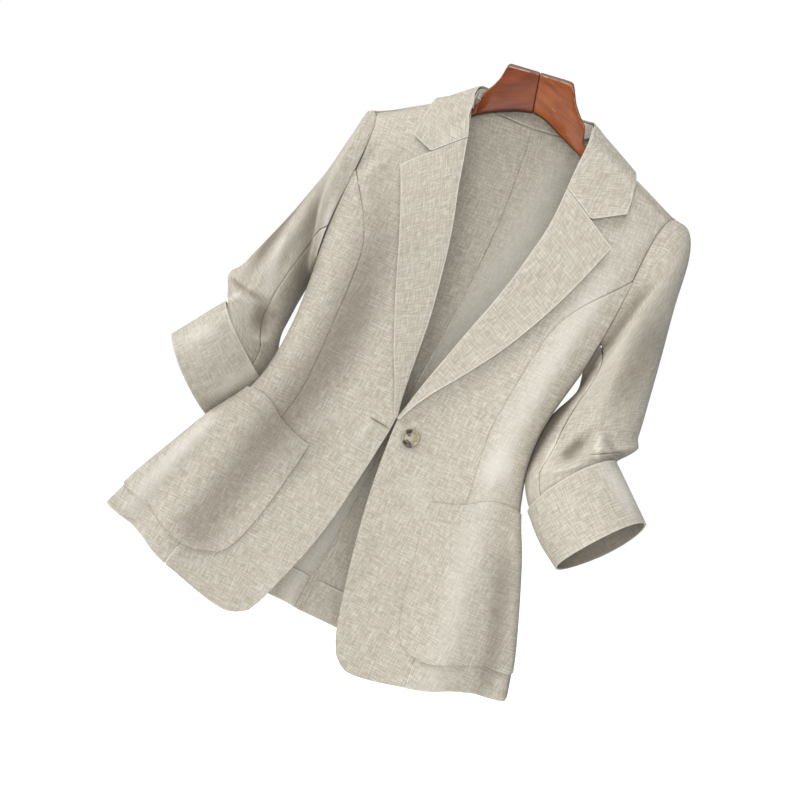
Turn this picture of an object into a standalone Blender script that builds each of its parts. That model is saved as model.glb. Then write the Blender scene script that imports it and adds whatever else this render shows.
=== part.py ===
"""A single breasted linen blazer on its wooden hanger, built from its cut pieces as thin cloth shells.

Metres, +Z up, the front towards -Y. The origin is the top of the metal hook seat on the hanger, where
the whole thing is held. "Left" and "right" are the wearer's: the wearer's left is at +X.
The body is one surface, body_point(turn, height): turn runs from 0 at the centre front through +-1 at
the side seams to +-2 at the centre back. Each panel is a grid laid on a patch of that surface.
"""

import math
from functools import lru_cache

import bmesh
import bpy
from mathutils import Matrix, Vector

# ---------------------------------------------------------------- driving sizes
CLOTH = 0.0016  # wall of one layer of cloth
CUFF_CLOTH = 0.0026  # the cuff is folded double
GAP = 0.0004  # between two pieces that meet at a seam
SLEEVE_GAP = 0.0016  # between an armhole and its sleeve
SEAM_TURN = 0.0016  # half the gap at the side seams, in turn
PANEL_COLUMNS = 9
PANEL_ROWS = 28  # rows of cells up a front or a back
SEAM_SHARE = 4 / 7  # of those rows, the share below the armhole or the top of the princess seam
SEAM_ROWS = round(PANEL_ROWS * SEAM_SHARE)
NECK_SHARE = 1 - (5 / 9) ** 1.5  # of the back's width, the share along the neck: four of its nine columns
SLEEVE_SEAM = 0.018  # half the gap at a sleeve seam, in radians round the sleeve
# The rows of a sleeve, as places along it: closer together at the head and above the cuff.
SLEEVE_STEPS = (0, 0.04, 0.10, 0.17, 0.25, 0.33, 0.41, 0.49, 0.57, 0.64, 0.70, 0.76, 0.81, 0.86, 0.90, 0.95, 1)
SIDES = {"left": 1, "right": -1}

# Levels of the body, from the neck down to below the hem.
# height, middle x, half width, front y, back y, centre front x, centre back x
LEVELS = (
    (-0.040, 0.012, 0.205, -0.018, 0.024, 0.012, 0.012),
    (-0.100, 0.021, 0.200, -0.033, 0.035, 0.022, 0.017),
    (-0.160, 0.022, 0.190, -0.045, 0.042, 0.030, 0.019),
    (-0.220, 0.020, 0.178, -0.053, 0.045, 0.0318, 0.018),
    (-0.300, 0.015, 0.162, -0.054, 0.044, 0.0255, 0.014),
    (-0.380, 0.010, 0.155, -0.049, 0.039, 0.0159, 0.008),
    (-0.450, 0.010, 0.1675, -0.047, 0.038, 0.0119, 0.004),
    (-0.505, 0.005, 0.197, -0.047, 0.038, 0.0100, 0.000),
    (-0.560, 0.001, 0.222, -0.048, 0.039, 0.0095, -0.004),
    (-0.610, -0.003, 0.243, -0.049, 0.040, 0.0076, -0.008),
    (-0.660, -0.007, 0.259, -0.050, 0.040, 0.0047, -0.011),
    (-0.720, -0.010, 0.273, -0.051, 0.040, 0.0038, -0.013),
)
ROUNDNESS = 2.4  # exponent of the body's sections: 2 is an ellipse, more is squarer
SIDE_Y = 0.0
# The fronts fall back towards each other at the centre: height, how far. Each is fullest near its side.
HOLLOW = (
    (-0.150, 0.000),
    (-0.200, 0.009),
    (-0.250, 0.020),
    (-0.300, 0.026),
    (-0.380, 0.029),
    (-0.450, 0.029),
    (-0.505, 0.028),
    (-0.560, 0.026),
    (-0.610, 0.025),
    (-0.660, 0.024),
    (-0.720, 0.024),
)
HOLLOW_REACH = (0.28, 1.0)  # where the fall ends and starts, as shares of the half width
FRONT_SQUARE = 0.5  # exponent of the front's depth: less is squarer

# The shoulders: a straight seam on each side, and how far the cloth falls before it is at full depth.
SHOULDER_TIP = 0.188  # half width at the seam's outer end
SHOULDER_TOP = -0.103  # height of that end
SHOULDER_SLOPE = 0.46
NECK_HALF = 0.074  # half width of the neck hole on the seam
BACK_NECK = -0.0535  # height of the neckline at the centre back
SHOULDER_FALL = 0.065
# The garment sits a little askew on the hanger: height, rise of z for each metre of x.
ASKEW = ((-0.200, 0.0), (-0.150, 0.012), (-0.100, 0.032), (-0.060, 0.036), (-0.020, 0.050))

# The armholes: an oval round the side of the body.
ARM_MIDDLE = -0.1965  # height of its middle
ARM_HALF = 0.0935  # half its height
ARM_TIP_TURN = 0.30  # how far from the side the shoulder tip lies, in turn
ARM_FRONT_SCOOP = 0.20
ARM_BACK_SCOOP = 0.15
PRINCESS_TOP = -0.182  # where the princess seam runs into the armhole

# The front edge, up the roll line to the neck: height, half width from the centre front line.
FRONT_EDGE = (
    (-0.6865, 0.0560),
    (-0.6800, 0.0525),
    (-0.6670, 0.0465),
    (-0.6500, 0.0410),
    (-0.6000, 0.0270),
    (-0.5500, 0.0160),
    (-0.5000, 0.0085),
    (-0.4600, 0.0040),
    (-0.4200, 0.0012),
    (-0.4000, 0.0050),
    (-0.3500, 0.0140),
    (-0.3000, 0.0235),
    (-0.2500, 0.0350),
    (-0.2000, 0.0460),
    (-0.1600, 0.0550),
    (-0.1200, 0.0605),
    (-0.0800, 0.0660),
    (-0.0506, 0.0735),
)
# The princess seam: height, half width from the middle.
PRINCESS = (
    (-0.690, 0.1550),
    (-0.660, 0.1500),
    (-0.610, 0.1410),
    (-0.560, 0.1320),
    (-0.500, 0.1210),
    (-0.460, 0.1130),
    (-0.420, 0.1070),
    (-0.380, 0.1055),
    (-0.340, 0.1070),
    (-0.300, 0.1095),
    (-0.260, 0.1150),
    (-0.225, 0.1290),
    (-0.200, 0.1450),
    (PRINCESS_TOP, 0.1590),
)
# The hem: turn, height. It dips at the fronts and at the centre back.
HEM = (
    (0.00, -0.699),
    (0.16, -0.6985),
    (0.23, -0.6935),
    (0.32, -0.684),
    (0.42, -0.673),
    (0.52, -0.662),
    (0.75, -0.652),
    (1.00, -0.649),
    (1.30, -0.660),
    (1.65, -0.673),
    (2.00, -0.678),
)
# Soft flutes that open towards the hem: turn, half width in turn, depth at the hem.
FLUTES = (
    (0.40, 0.13, 0.005),
    (0.60, 0.12, -0.007),
    (0.82, 0.13, 0.006),
    (1.16, 0.12, -0.006),
    (1.38, 0.14, 0.007),
    (1.62, 0.13, -0.006),
)
FLUTE_TOP = -0.44

# The turned-back lapels: height, half width of the outer edge from the centre front line.
LAPEL_EDGE = (
    (-0.420, 0.0030),
    (-0.405, 0.0090),
    (-0.380, 0.0215),
    (-0.350, 0.0390),
    (-0.300, 0.0645),
    (-0.250, 0.0865),
    (-0.200, 0.1075),
    (-0.160, 0.1240),
)
BREAK = -0.419  # height where the lapel starts to turn back
GORGE_TOP = {1: -0.118, -1: -0.102}  # height of each gorge seam on the roll line
LAPEL_TIP = -0.160
LAPEL_WIDER = {1: 0.0040, -1: 0.0005}  # each lapel hangs open by its own amount
LAPEL_LIFT = (0.0022, 0.0062)  # clear of the front at the roll, and at the outer edge

# The collar, half of it, from the centre back round to the gorge.
# fold half x, fold y, fold z, edge half x, edge y, edge z, fold middle x, edge middle x
COLLAR = (
    (0.0000, 0.0330, -0.0240, 0.0000, 0.0400, -0.0760, 0.010, 0.016),
    (0.0350, 0.0290, -0.0255, 0.0480, 0.0385, -0.0785, 0.010, 0.017),
    (0.0570, 0.0180, -0.0290, 0.0900, 0.0290, -0.0780, 0.010, 0.018),
    (0.0675, 0.0045, -0.0335, 0.1130, 0.0080, -0.0675, 0.010, 0.021),
    (0.0695, -0.0090, -0.0470, 0.1180, -0.0130, -0.0740, 0.012, 0.024),
    (0.0685, -0.0200, -0.0650, 0.1200, -0.0240, -0.0900, 0.015, 0.026),
    (0.0655, -0.0300, -0.0860, 0.1230, -0.0310, -0.1070, 0.018, 0.028),
    (0.0625, -0.0380, -0.1090, 0.1250, -0.0360, -0.1220, 0.0215, 0.0295),
)
COLLAR_NOTCH = 0.5  # how far along the collar's end the gorge seam runs, to the notch
LAPEL_NOTCH = 0.54  # how far along the lapel's top edge it runs
COLLAR_ROLL = 0.0028  # how far the collar bellies out between its fold and its edge
# The collar's stand: place along the collar, half width and height of its seam, and how far up to the fold it reaches.
STAND = (
    (0.00, 0.0000, -0.0520, 0.92),
    (0.15, 0.0300, -0.0515, 0.92),
    (0.30, 0.0560, -0.0500, 0.92),
    (0.42, 0.0690, -0.0475, 0.90),
    (0.52, 0.0700, -0.0530, 0.85),
    (0.62, 0.0690, -0.0640, 0.70),
)
STAND_SHOULDER = 0.42  # where it crosses from the back to the front

# Patch pockets: height, half width of the inner edge from the centre front line.
POCKET_EDGE = (
    (-0.6425, 0.1170),
    (-0.6320, 0.1085),
    (-0.6150, 0.1015),
    (-0.5900, 0.0945),
    (-0.5500, 0.0865),
    (-0.5050, 0.0785),
    (-0.4870, 0.0770),
)
# The pocket's foot and mouth: turn, height.
POCKET_FOOT = (
    (0.255, -0.6425),
    (0.30, -0.6495),
    (0.34, -0.6505),
    (0.39, -0.6475),
    (0.45, -0.6410),
    (0.53, -0.6325),
    (0.62, -0.6255),
    (0.93, -0.6190),
)
POCKET_MOUTH = ((0.23, -0.4870), (0.28, -0.4835), (0.40, -0.4730), (0.51, -0.4615), (0.58, -0.4570), (0.71, -0.4550), (0.93, -0.4590))
POCKET_OUTER_TURN = 0.93
POCKET_LIFT = 0.0030

# The sleeves, half of the pair: outer x and z, inner x and z, middle y, half depth.
SLEEVE = (
    (0.188, -0.1030, 0.162, -0.2900, 0.000, 0.043),
    (0.201, -0.1080, 0.165, -0.2960, 0.003, 0.047),
    (0.209, -0.1350, 0.168, -0.3030, 0.006, 0.050),
    (0.215, -0.1850, 0.170, -0.3150, 0.008, 0.052),
    (0.226, -0.2350, 0.171, -0.3300, 0.009, 0.053),
    (0.238, -0.2850, 0.171, -0.3500, 0.009, 0.052),
    (0.248, -0.3250, 0.170, -0.3750, 0.007, 0.049),
    (0.252, -0.3500, 0.169, -0.4000, -0.001, 0.045),
    (0.244, -0.3590, 0.169, -0.4250, -0.011, 0.042),
    (0.2365, -0.3695, 0.173, -0.4450, -0.019, 0.0372),
    (0.2445, -0.3795, 0.182, -0.4580, -0.0225, 0.0360),
)
# Each cuff hangs in its own way: same columns.
CUFF = {
    "left": (
        (0.2415, -0.3675, 0.1700, -0.4505, -0.019, 0.0435),
        (0.2650, -0.3925, 0.1925, -0.4750, -0.019, 0.0435),
        (0.2895, -0.4190, 0.2203, -0.4960, -0.019, 0.0430),
    ),
    "right": (
        (0.2358, -0.3688, 0.1700, -0.4505, -0.019, 0.0435),
        (0.2575, -0.3960, 0.1905, -0.4805, -0.019, 0.0435),
        (0.2800, -0.4230, 0.2154, -0.5090, -0.019, 0.0430),
    ),
}
CUFF_LENGTH = 0.072
FORWARD = {"left": math.radians(18), "right": math.radians(11)}  # how far each forearm comes forward
# Each forearm swings out from the elbow by its own angle
ELBOW = (0.205, -0.370)
SWING = {"left": math.radians(6), "right": math.radians(-6)}
DROP = {"left": 0.0, "right": -0.006}  # and hangs lower by this much
TUCK = {"left": 0.0, "right": 0.058}  # its inner side tucked back behind the body by this much
CLEAR = {"left": 0.0, "right": 0.007}  # and moved out
# How far each upper arm's outer side stands off: place along the sleeve, metres.
SPREAD = {
    "left": ((0.0, 0.0), (0.10, 0.001), (0.35, 0.005), (0.70, 0.0), (1.0, 0.0)),
    "right": ((0.0, 0.0), (0.08, -0.006), (0.18, -0.016), (0.28, -0.014), (0.50, -0.007), (0.72, -0.004), (1.0, -0.004)),
}
# How far each sleeve's inner side comes in towards the body: place along the sleeve, metres.
CLOSE = {
    "left": (
        (0.0, 0.0),
        (0.20, 0.0),
        (0.28, 0.0018),
        (0.36, 0.0052),
        (0.44, 0.0096),
        (0.52, 0.0128),
        (0.60, 0.0130),
        (0.70, 0.0112),
        (0.80, 0.0100),
        (0.86, 0.0070),
        (0.91, 0.0030),
        (0.95, 0.0),
        (1.0, 0.0),
    ),
    "right": ((0.0, 0.0), (1.0, 0.0)),
}
FRONT_SEAM = math.radians(128)  # the seams between top sleeve and under sleeve, round from the outside
BACK_SEAM = math.radians(118)
# Folds of the bent elbow: place along the sleeve, round it, half length, half width, depth.
SLEEVE_FOLDS = (
    (0.43, math.radians(112), 0.28, 0.45, -0.008),
    (0.76, math.radians(40), 0.07, 0.80, -0.006),
    (0.67, math.radians(15), 0.06, 0.90, 0.005),
    (0.76, math.radians(-60), 0.07, 0.80, -0.005),
)

# The hanger: half width, top z, bottom z, half thickness. It leans on the hook seat.
HANGER = {
    "left": (
        (0.0002, 0.0013, -0.0445, 0.0060),
        (0.0150, 0.0013, -0.0475, 0.0060),
        (0.0300, 0.0013, -0.0530, 0.0060),
        (0.0380, 0.0004, -0.0565, 0.0060),
        (0.0415, -0.0040, -0.0583, 0.0060),
        (0.0450, -0.0110, -0.0602, 0.0060),
        (0.0495, -0.0201, -0.0625, 0.0060),
        (0.0545, -0.0270, -0.0650, 0.0058),
        (0.0600, -0.0338, -0.0680, 0.0055),
        (0.0650, -0.0393, -0.0705, 0.0050),
        (0.0685, -0.0440, -0.0722, 0.0047),
        (0.0705, -0.0530, -0.0732, 0.0044),
        (0.0725, -0.0605, -0.0742, 0.0044),
        (0.0850, -0.0675, -0.0825, 0.0050),
        (0.1150, -0.0800, -0.0980, 0.0052),
        (0.1400, -0.0910, -0.1105, 0.0050),
        (0.1550, -0.0985, -0.1165, 0.0047),
        (0.1600, -0.1020, -0.1150, 0.0040),
    ),
    "right": (
        (0.0002, 0.0013, -0.0445, 0.0060),
        (0.0150, 0.0013, -0.0475, 0.0060),
        (0.0300, 0.0013, -0.0535, 0.0060),
        (0.0365, 0.0006, -0.0568, 0.0060),
        (0.0388, -0.0050, -0.0580, 0.0060),
        (0.0398, -0.0110, -0.0585, 0.0060),
        (0.0415, -0.0180, -0.0593, 0.0060),
        (0.0445, -0.0250, -0.0607, 0.0060),
        (0.0480, -0.0308, -0.0624, 0.0056),
        (0.0515, -0.0354, -0.0643, 0.0048),
        (0.0535, -0.0405, -0.0655, 0.0040),
        (0.0548, -0.0515, -0.0664, 0.0038),
        (0.0650, -0.0590, -0.0740, 0.0046),
        (0.0850, -0.0665, -0.0825, 0.0052),
        (0.1150, -0.0800, -0.0980, 0.0052),
        (0.1400, -0.0910, -0.1105, 0.0050),
        (0.1550, -0.0985, -0.1165, 0.0047),
        (0.1600, -0.1020, -0.1150, 0.0040),
    ),
}
JOINT_LEAN = 0.16  # how far the joint leans off square, per metre of height
JOINT_REACH = 0.045  # how far along each arm that is made up
HANGER_LEAN = math.radians(4)
HANGER_Y = 0.0
HANGER_CURVE = 0.001  # how far the arms' tips come forward
SEAT_RADIUS = 0.0022
SEAT_HEIGHT = 0.0022
NICK_ROOM = 0.0003  # between the seat and the wood

BUTTON_PLACE = (0.0245, -0.4330)  # from the centre front line, height
BUTTON_RADIUS = 0.0107
BUTTON_THICK = 0.0036
HEM_TURN_ROWS = 1.75  # width of the turned-up hem inside the back, in rows of the back

COLOURS = {
    "linen": ((0.60, 0.55, 0.47, 1), 0.85, 0.0),
    "wood": ((0.30, 0.09, 0.025, 1), 0.30, 0.0),
    "horn": ((0.30, 0.25, 0.17, 1), 0.25, 0.0),
    "steel": ((0.55, 0.55, 0.55, 1), 0.30, 1.0),
}


# ---------------------------------------------------------------- smooth tables
def slope_at(rows, i, column):
    """Slope of a column at row i, from the rows on its two sides."""
    low, high = max(i - 1, 0), min(i + 1, len(rows) - 1)
    return (rows[high][column] - rows[low][column]) / (rows[high][0] - rows[low][0])


def smooth(rows, at, column=1):
    """A column's value on a smooth curve through the rows, whose first column rises or falls steadily."""
    if rows[0][0] > rows[-1][0]:
        rows = rows[::-1]
    at = min(max(at, rows[0][0]), rows[-1][0])
    i = 0
    while i < len(rows) - 2 and at > rows[i + 1][0]:
        i += 1
    span = rows[i + 1][0] - rows[i][0]
    t = (at - rows[i][0]) / span
    first, last = rows[i][column], rows[i + 1][column]
    leave, arrive = slope_at(rows, i, column) * span, slope_at(rows, i + 1, column) * span
    rise = last - first
    return first + t * (leave + t * ((3 * rise - 2 * leave - arrive) + t * (leave + arrive - 2 * rise)))


def numbered(rows):
    """The rows with their place from 0 to 1 put in front."""
    return tuple((i / (len(rows) - 1),) + tuple(row) for i, row in enumerate(rows))


def mix(a, b, t):
    return a + (b - a) * t


def ease(t):
    t = min(max(t, 0.0), 1.0)
    return t * t * (3 - 2 * t)


def bump(distance, half):
    """1 at the middle, 0 from half on, round in between."""
    return ease(1 - abs(distance) / half)


# ---------------------------------------------------------------- the body's surface
@lru_cache(maxsize=None)
def level(height):
    return tuple(smooth(LEVELS, height, column) for column in range(1, 7))


def front_x(height):
    return level(height)[4]


def turn_at(x, height, back=False):
    """The turn at which the body's section passes through x."""
    middle, half, _, _, centre_front, centre_back = level(height)
    centre = centre_back if back else centre_front
    side = middle + math.copysign(half, x - centre)
    share = min(max((x - centre) / (side - centre), 0.0), 1.0)
    quarter = math.asin(share ** (ROUNDNESS / 2)) / (math.pi / 2)
    return math.copysign(2 - quarter if back else quarter, x - centre)


def shoulder_height(half):
    return SHOULDER_TOP + SHOULDER_SLOPE * (SHOULDER_TIP - half)


def under_shoulder(x, height):
    """How far a point of the front or back lies below the shoulder seam."""
    return shoulder_height(abs(x - level(height)[0])) - height


def hollow_share(across):
    """How much of the hollow is left at a share of the half width: a slope with soft ends."""
    start, stop = HOLLOW_REACH
    return 0.8 * ease((stop - across) / (stop - start)) + 0.2 * ease(1 - across / stop)


def raw_point(turn, height):
    middle, half, front, back, centre_front, centre_back = level(height)
    side = middle + math.copysign(half, turn)
    behind = abs(turn) > 1
    centre, depth = (centre_back, back) if behind else (centre_front, front)
    angle = (2 - abs(turn) if behind else abs(turn)) * math.pi / 2
    across = max(math.sin(angle), 0.0) ** (2 / ROUNDNESS)
    along = max(math.cos(angle), 0.0) ** (2 / ROUNDNESS if behind else FRONT_SQUARE)
    x = mix(centre, side, across)
    fall = min(max(under_shoulder(x, height) / SHOULDER_FALL, 0.0), 1.0)
    rise = math.sqrt(1 - (1 - fall) ** 2)
    y = SIDE_Y + (depth - SIDE_Y) * along * rise
    y += (GAP / 2) * (1 if behind else -1) * (1 - rise)
    if not behind:
        y += smooth(HOLLOW, height) * hollow_share(across)
    return Vector((x, y, height))


def flute(turn, height):
    """How far the open flutes of the skirt push the cloth in or out."""
    open_share = ease((FLUTE_TOP - height) / (FLUTE_TOP - HEM[0][1]))
    return open_share * sum(depth * bump(abs(turn) - at, half) for at, half, depth in FLUTES)


def outward(turn, height):
    """The body's normal, pointing out of the garment."""
    step = 0.004
    along = raw_point(turn + step, height) - raw_point(turn - step, height)
    up = raw_point(turn, height + step) - raw_point(turn, height - step)
    return along.cross(up).normalized()


def body_point(turn, height, lift=0.0):
    return raw_point(turn, height) + outward(turn, height) * (lift + flute(turn, height))


def body_depth(x, height, back=False):
    return raw_point(turn_at(x, height, back), height).y


def hang(point):
    """The point with the garment a little askew on the hanger."""
    x, y, z = point
    return Vector((x, y, z + smooth(ASKEW, z) * (x - 0.021)))


# ---------------------------------------------------------------- seams in (turn, height)
def front_line(table, side, height):
    """A seam or edge of the front at this height."""
    return turn_at(front_x(height) + side * smooth(table, height), height), height


def princess(side, height, trim=0.0):
    """The princess seam, moved towards the centre front by trim. Its top runs into the armhole."""

    def plain(at):
        return turn_at(level(at)[0] + side * smooth(PRINCESS, at), at)

    meets = armhole(side, armhole_angle(PRINCESS_TOP))[0] - plain(PRINCESS_TOP)
    return plain(height) + meets * ease((height - PRINCESS_TOP + 0.08) / 0.08) - side * trim / 0.16, height


def climb(v, low, middle, high):
    """Height at v: from low to middle over SEAM_SHARE of the rows, then on to high."""
    if v < SEAM_SHARE:
        return mix(low, middle, v / SEAM_SHARE)
    return mix(middle, high, 1 - (1 - (v - SEAM_SHARE) / (1 - SEAM_SHARE)) ** 2)


def armhole(side, angle, back=False):
    """The armhole at an angle from the shoulder tip, 0, to the underarm, pi."""
    height = ARM_MIDDLE + ARM_HALF * math.cos(angle)
    scoop = ARM_BACK_SCOOP if back else ARM_FRONT_SCOOP
    inset = ARM_TIP_TURN * ((1 + math.cos(angle)) / 2) ** 1.5 + scoop * max(math.sin(angle), 0.0) ** 1.1
    return side * (1 + inset if back else 1 - inset), height


def armhole_angle(height):
    return math.acos(min(max((height - ARM_MIDDLE) / ARM_HALF, -1.0), 1.0))


def hem(turn):
    return smooth(HEM, abs(turn))


def patch(low, high, foot, head):
    """A Coons patch between four edges, each a function of 0..1 that gives (turn, height).

    The foot and the head are bent near their ends so that they meet the other two edges exactly."""

    def met(edge, end, u, k):
        start_off = low(end)[k] - edge(0)[k]
        stop_off = high(end)[k] - edge(1)[k]
        return edge(u)[k] + start_off * (1 - u) ** 3 + stop_off * u**3

    def place(u, v):
        found = []
        for k in (0, 1):
            across = mix(low(v)[k], high(v)[k], u)
            upward = mix(met(foot, 0, u, k), met(head, 1, u, k), v)
            corners = mix(mix(low(0)[k], high(0)[k], u), mix(low(1)[k], high(1)[k], u), v)
            found.append(across + upward - corners)
        return found

    return place


def corner_turn(side):
    return front_line(FRONT_EDGE, side, FRONT_EDGE[0][0])[0]


# ---------------------------------------------------------------- making pieces
def clear_scene():
    for obj in list(bpy.data.objects):
        bpy.data.objects.remove(obj, do_unlink=True)


def material(name):
    made = bpy.data.materials.get(name)
    if made is None:
        colour, roughness, metallic = COLOURS[name]
        made = bpy.data.materials.new(name)
        made.use_nodes = True
        shader = made.node_tree.nodes["Principled BSDF"]
        shader.inputs["Base Color"].default_value = colour
        shader.inputs["Roughness"].default_value = roughness
        shader.inputs["Metallic"].default_value = metallic
        made.diffuse_color = colour
    return made


def finish(name, mesh, finish_name):
    data = bpy.data.meshes.new(name)
    mesh.to_mesh(data)
    mesh.free()
    data.shade_smooth()
    obj = bpy.data.objects.new(name, data)
    obj.data.materials.append(material(finish_name))
    blazer.objects.link(obj)
    return obj


def cutter_of(name, mesh):
    data = bpy.data.meshes.new(name)
    mesh.to_mesh(data)
    mesh.free()
    cutter = bpy.data.objects.new(name, data)
    cutters.objects.link(cutter)
    cutter.hide_render = True
    cutter.display_type = "WIRE"
    return cutter


def cut(obj, cutter):
    taken = obj.modifiers.new(cutter.name, "BOOLEAN")
    taken.operation = "DIFFERENCE"
    taken.object = cutter


def rod(radius, low, high, x=0.0, y=0.0, segments=20):
    """A plain upright cylinder."""
    mesh = bmesh.new()
    bmesh.ops.create_cone(
        mesh,
        cap_ends=True,
        segments=segments,
        radius1=radius,
        radius2=radius,
        depth=high - low,
        matrix=Matrix.Translation((x, y, (low + high) / 2)),
    )
    return mesh


def thicken(obj, wall, even=True):
    wall_of = obj.modifiers.new("wall", "SOLIDIFY")
    wall_of.thickness = wall
    wall_of.offset = -1.0
    wall_of.use_even_offset = even
    return obj


def cloth(name, place, columns, rows, side=1, wall=CLOTH, closed=False, even=True):
    """A cloth shell from a grid whose points go to place(u, v). Its outer face is the one placed."""
    mesh = bmesh.new()
    bmesh.ops.create_grid(mesh, x_segments=columns, y_segments=rows, size=0.5)
    for vert in mesh.verts:
        vert.co = hang(place(vert.co.x + 0.5, vert.co.y + 0.5))
    if closed:
        bmesh.ops.remove_doubles(mesh, verts=mesh.verts, dist=0.0001)
    if side < 0:
        bmesh.ops.reverse_faces(mesh, faces=mesh.faces)
    return thicken(finish(name, mesh, "linen"), wall, even)


# ---------------------------------------------------------------- body panels
def make_front(name, side):
    """Centre front: from the front edge to the princess seam, up over the chest to the shoulder seam."""
    outer_foot = hem(princess(side, -0.68)[0])

    def inner(v):
        return front_line(FRONT_EDGE, side, climb(v, FRONT_EDGE[0][0], -0.210, shoulder_height(NECK_HALF)))

    def outer(v):
        height = climb(v, outer_foot, PRINCESS_TOP, SHOULDER_TOP)
        if height < PRINCESS_TOP:
            return princess(side, height, GAP / 2)
        return armhole(side, armhole_angle(height))

    def foot(u):
        turn = mix(corner_turn(side), outer(0)[0], u)
        rounding = 0.0125 * max(1 - u / 0.22, 0.0) ** 2
        return turn, hem(turn) + rounding

    def head(u):
        half = mix(NECK_HALF, SHOULDER_TIP, u)
        height = shoulder_height(half)
        return turn_at(level(height)[0] + side * half, height), height

    spread = patch(inner, outer, foot, head)
    return cloth(name, lambda u, v: body_point(*spread(u, v)), PANEL_COLUMNS, PANEL_ROWS, side)


def make_side_front(name, side):
    """Side front: from the princess seam round to the side seam, up to the armhole."""
    inner_foot = hem(princess(side, -0.68)[0])
    junction = armhole_angle(PRINCESS_TOP)
    seam = side * (1 - SEAM_TURN)

    def inner(v):
        return princess(side, mix(inner_foot, PRINCESS_TOP, v), -GAP / 2 - 0.0008 * ease(v * 8 - 7))

    def outer(v):
        return seam, mix(hem(1), ARM_MIDDLE - ARM_HALF, v)

    def foot(u):
        turn = mix(inner(0)[0], seam, u)
        return turn, hem(turn)

    def head(u):
        turn, height = armhole(side, mix(junction, math.pi, u**0.8))
        return side * min(abs(turn), 1 - SEAM_TURN), height

    spread = patch(inner, outer, foot, head)
    return cloth(name, lambda u, v: body_point(*spread(u, v)), 8, SEAM_ROWS, side)


def back_patch(side):
    """Half of the back: from the centre back seam to the side seam, armhole and shoulder seam."""
    neck_point = shoulder_height(NECK_HALF)

    def inner(v):
        height = climb(v, hem(2), -0.300, BACK_NECK)
        return turn_at(level(height)[5] + side * GAP / 2, height, back=True), height

    def outer(v):
        height = climb(v, hem(1), ARM_MIDDLE - ARM_HALF, SHOULDER_TOP)
        if height < ARM_MIDDLE - ARM_HALF:
            return side * (1 + SEAM_TURN), height
        turn, height = armhole(side, armhole_angle(height), back=True)
        return side * max(abs(turn), 1 + SEAM_TURN), height

    def foot(u):
        turn = mix(inner(0)[0], outer(0)[0], u)
        return turn, hem(turn)

    def head(u):
        if u < NECK_SHARE:
            half, height = NECK_HALF * u / NECK_SHARE, mix(BACK_NECK, neck_point, ease(u / NECK_SHARE) ** 2)
        else:
            half = mix(NECK_HALF, SHOULDER_TIP, (u - NECK_SHARE) / (1 - NECK_SHARE))
            height = shoulder_height(half)
        middle = mix(level(height)[5], level(height)[0], min(u / NECK_SHARE, 1.0))
        return turn_at(middle + side * max(half, 0.0002), height, back=True), height

    spread = patch(inner, outer, foot, head)
    return lambda u, v: spread(1 - (1 - u) ** 1.5, v)


def make_back(name, side):
    spread = back_patch(side)
    return cloth(name, lambda u, v: body_point(*spread(u, v)), PANEL_COLUMNS, PANEL_ROWS, -side)


def make_hem_turn(name, side):
    """The back hem turned up inside: the back's own lowest rows, moved in."""
    spread = back_patch(side)
    columns = PANEL_COLUMNS - 1

    def place(u, v):
        turn, height = spread(0.004 + u * columns / PANEL_COLUMNS, v * HEM_TURN_ROWS / PANEL_ROWS)
        return body_point(turn, height + 0.0004, -CLOTH - 0.0008)

    return cloth(name, place, columns, 2, -side, wall=0.0012)


def make_pocket(name, side):
    """Patch pocket: laid on the front's points, moved out, with a rounded inner corner."""

    def inner(v):
        return front_line(POCKET_EDGE, side, mix(POCKET_EDGE[0][0], POCKET_EDGE[-1][0], v))

    def outer(v):
        return side * POCKET_OUTER_TURN, mix(POCKET_FOOT[-1][1], POCKET_MOUTH[-1][1], v)

    def foot(u):
        turn = mix(abs(inner(0)[0]), POCKET_OUTER_TURN, u)
        return side * turn, smooth(POCKET_FOOT, turn)

    def head(u):
        turn = mix(abs(inner(1)[0]), POCKET_OUTER_TURN, u)
        return side * turn, smooth(POCKET_MOUTH, turn)

    spread = patch(inner, outer, foot, head)
    return cloth(name, lambda u, v: body_point(*spread(u, v), lift=POCKET_LIFT), 10, 10, side)


# ---------------------------------------------------------------- lapels and collar
def lapel_point(side, u, v):
    """A point of the lapel: u from the roll line out to its edge, v from the break up to the gorge."""
    roll_height = mix(BREAK, GORGE_TOP[side], v)
    edge_height = mix(BREAK, LAPEL_TIP, v)
    roll_x = front_x(roll_height) + side * (smooth(FRONT_EDGE, roll_height) - 0.0012)
    wider = LAPEL_WIDER[side] * bump(edge_height + 0.28, 0.13)
    edge_x = front_x(edge_height) + side * (smooth(LAPEL_EDGE, edge_height) + wider)
    x, height = mix(roll_x, edge_x, u), mix(roll_height, edge_height, u)
    lift = mix(*LAPEL_LIFT, u) * ease(min(v * 12 + 0.35, 1.0)) - CLOTH * 0.6 * (1 - ease(u * 8))
    return Vector((x, body_depth(x, height) - CLOTH - lift, height))


def make_lapel(name, side):
    """Turned-back lapel: from the roll line out to its edge, lying on the chest."""
    return cloth(name, lambda u, v: lapel_point(side, u, v), 6, 16, side)


COLLAR_ROWS = numbered(COLLAR)


def collar_lines(g):
    """The fold and the edge of the collar at g, -1 at the wearer's right end, 0 behind, 1 at the left."""
    along, side = abs(g), math.copysign(1, g)
    row = [smooth(COLLAR_ROWS, along, column) for column in range(1, 9)]
    fold = Vector((row[6] + side * row[0], row[1], row[2]))
    edge = Vector((row[7] + side * row[3], row[4], row[5]))
    return fold, edge


def neck_outward(g):
    """Straight out from the neck, level, at g."""
    ahead, behind = collar_lines(min(g + 0.02, 1))[0], collar_lines(max(g - 0.02, -1))[0]
    along = ahead - behind
    return Vector((-along.y, along.x, 0)).normalized()


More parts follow.
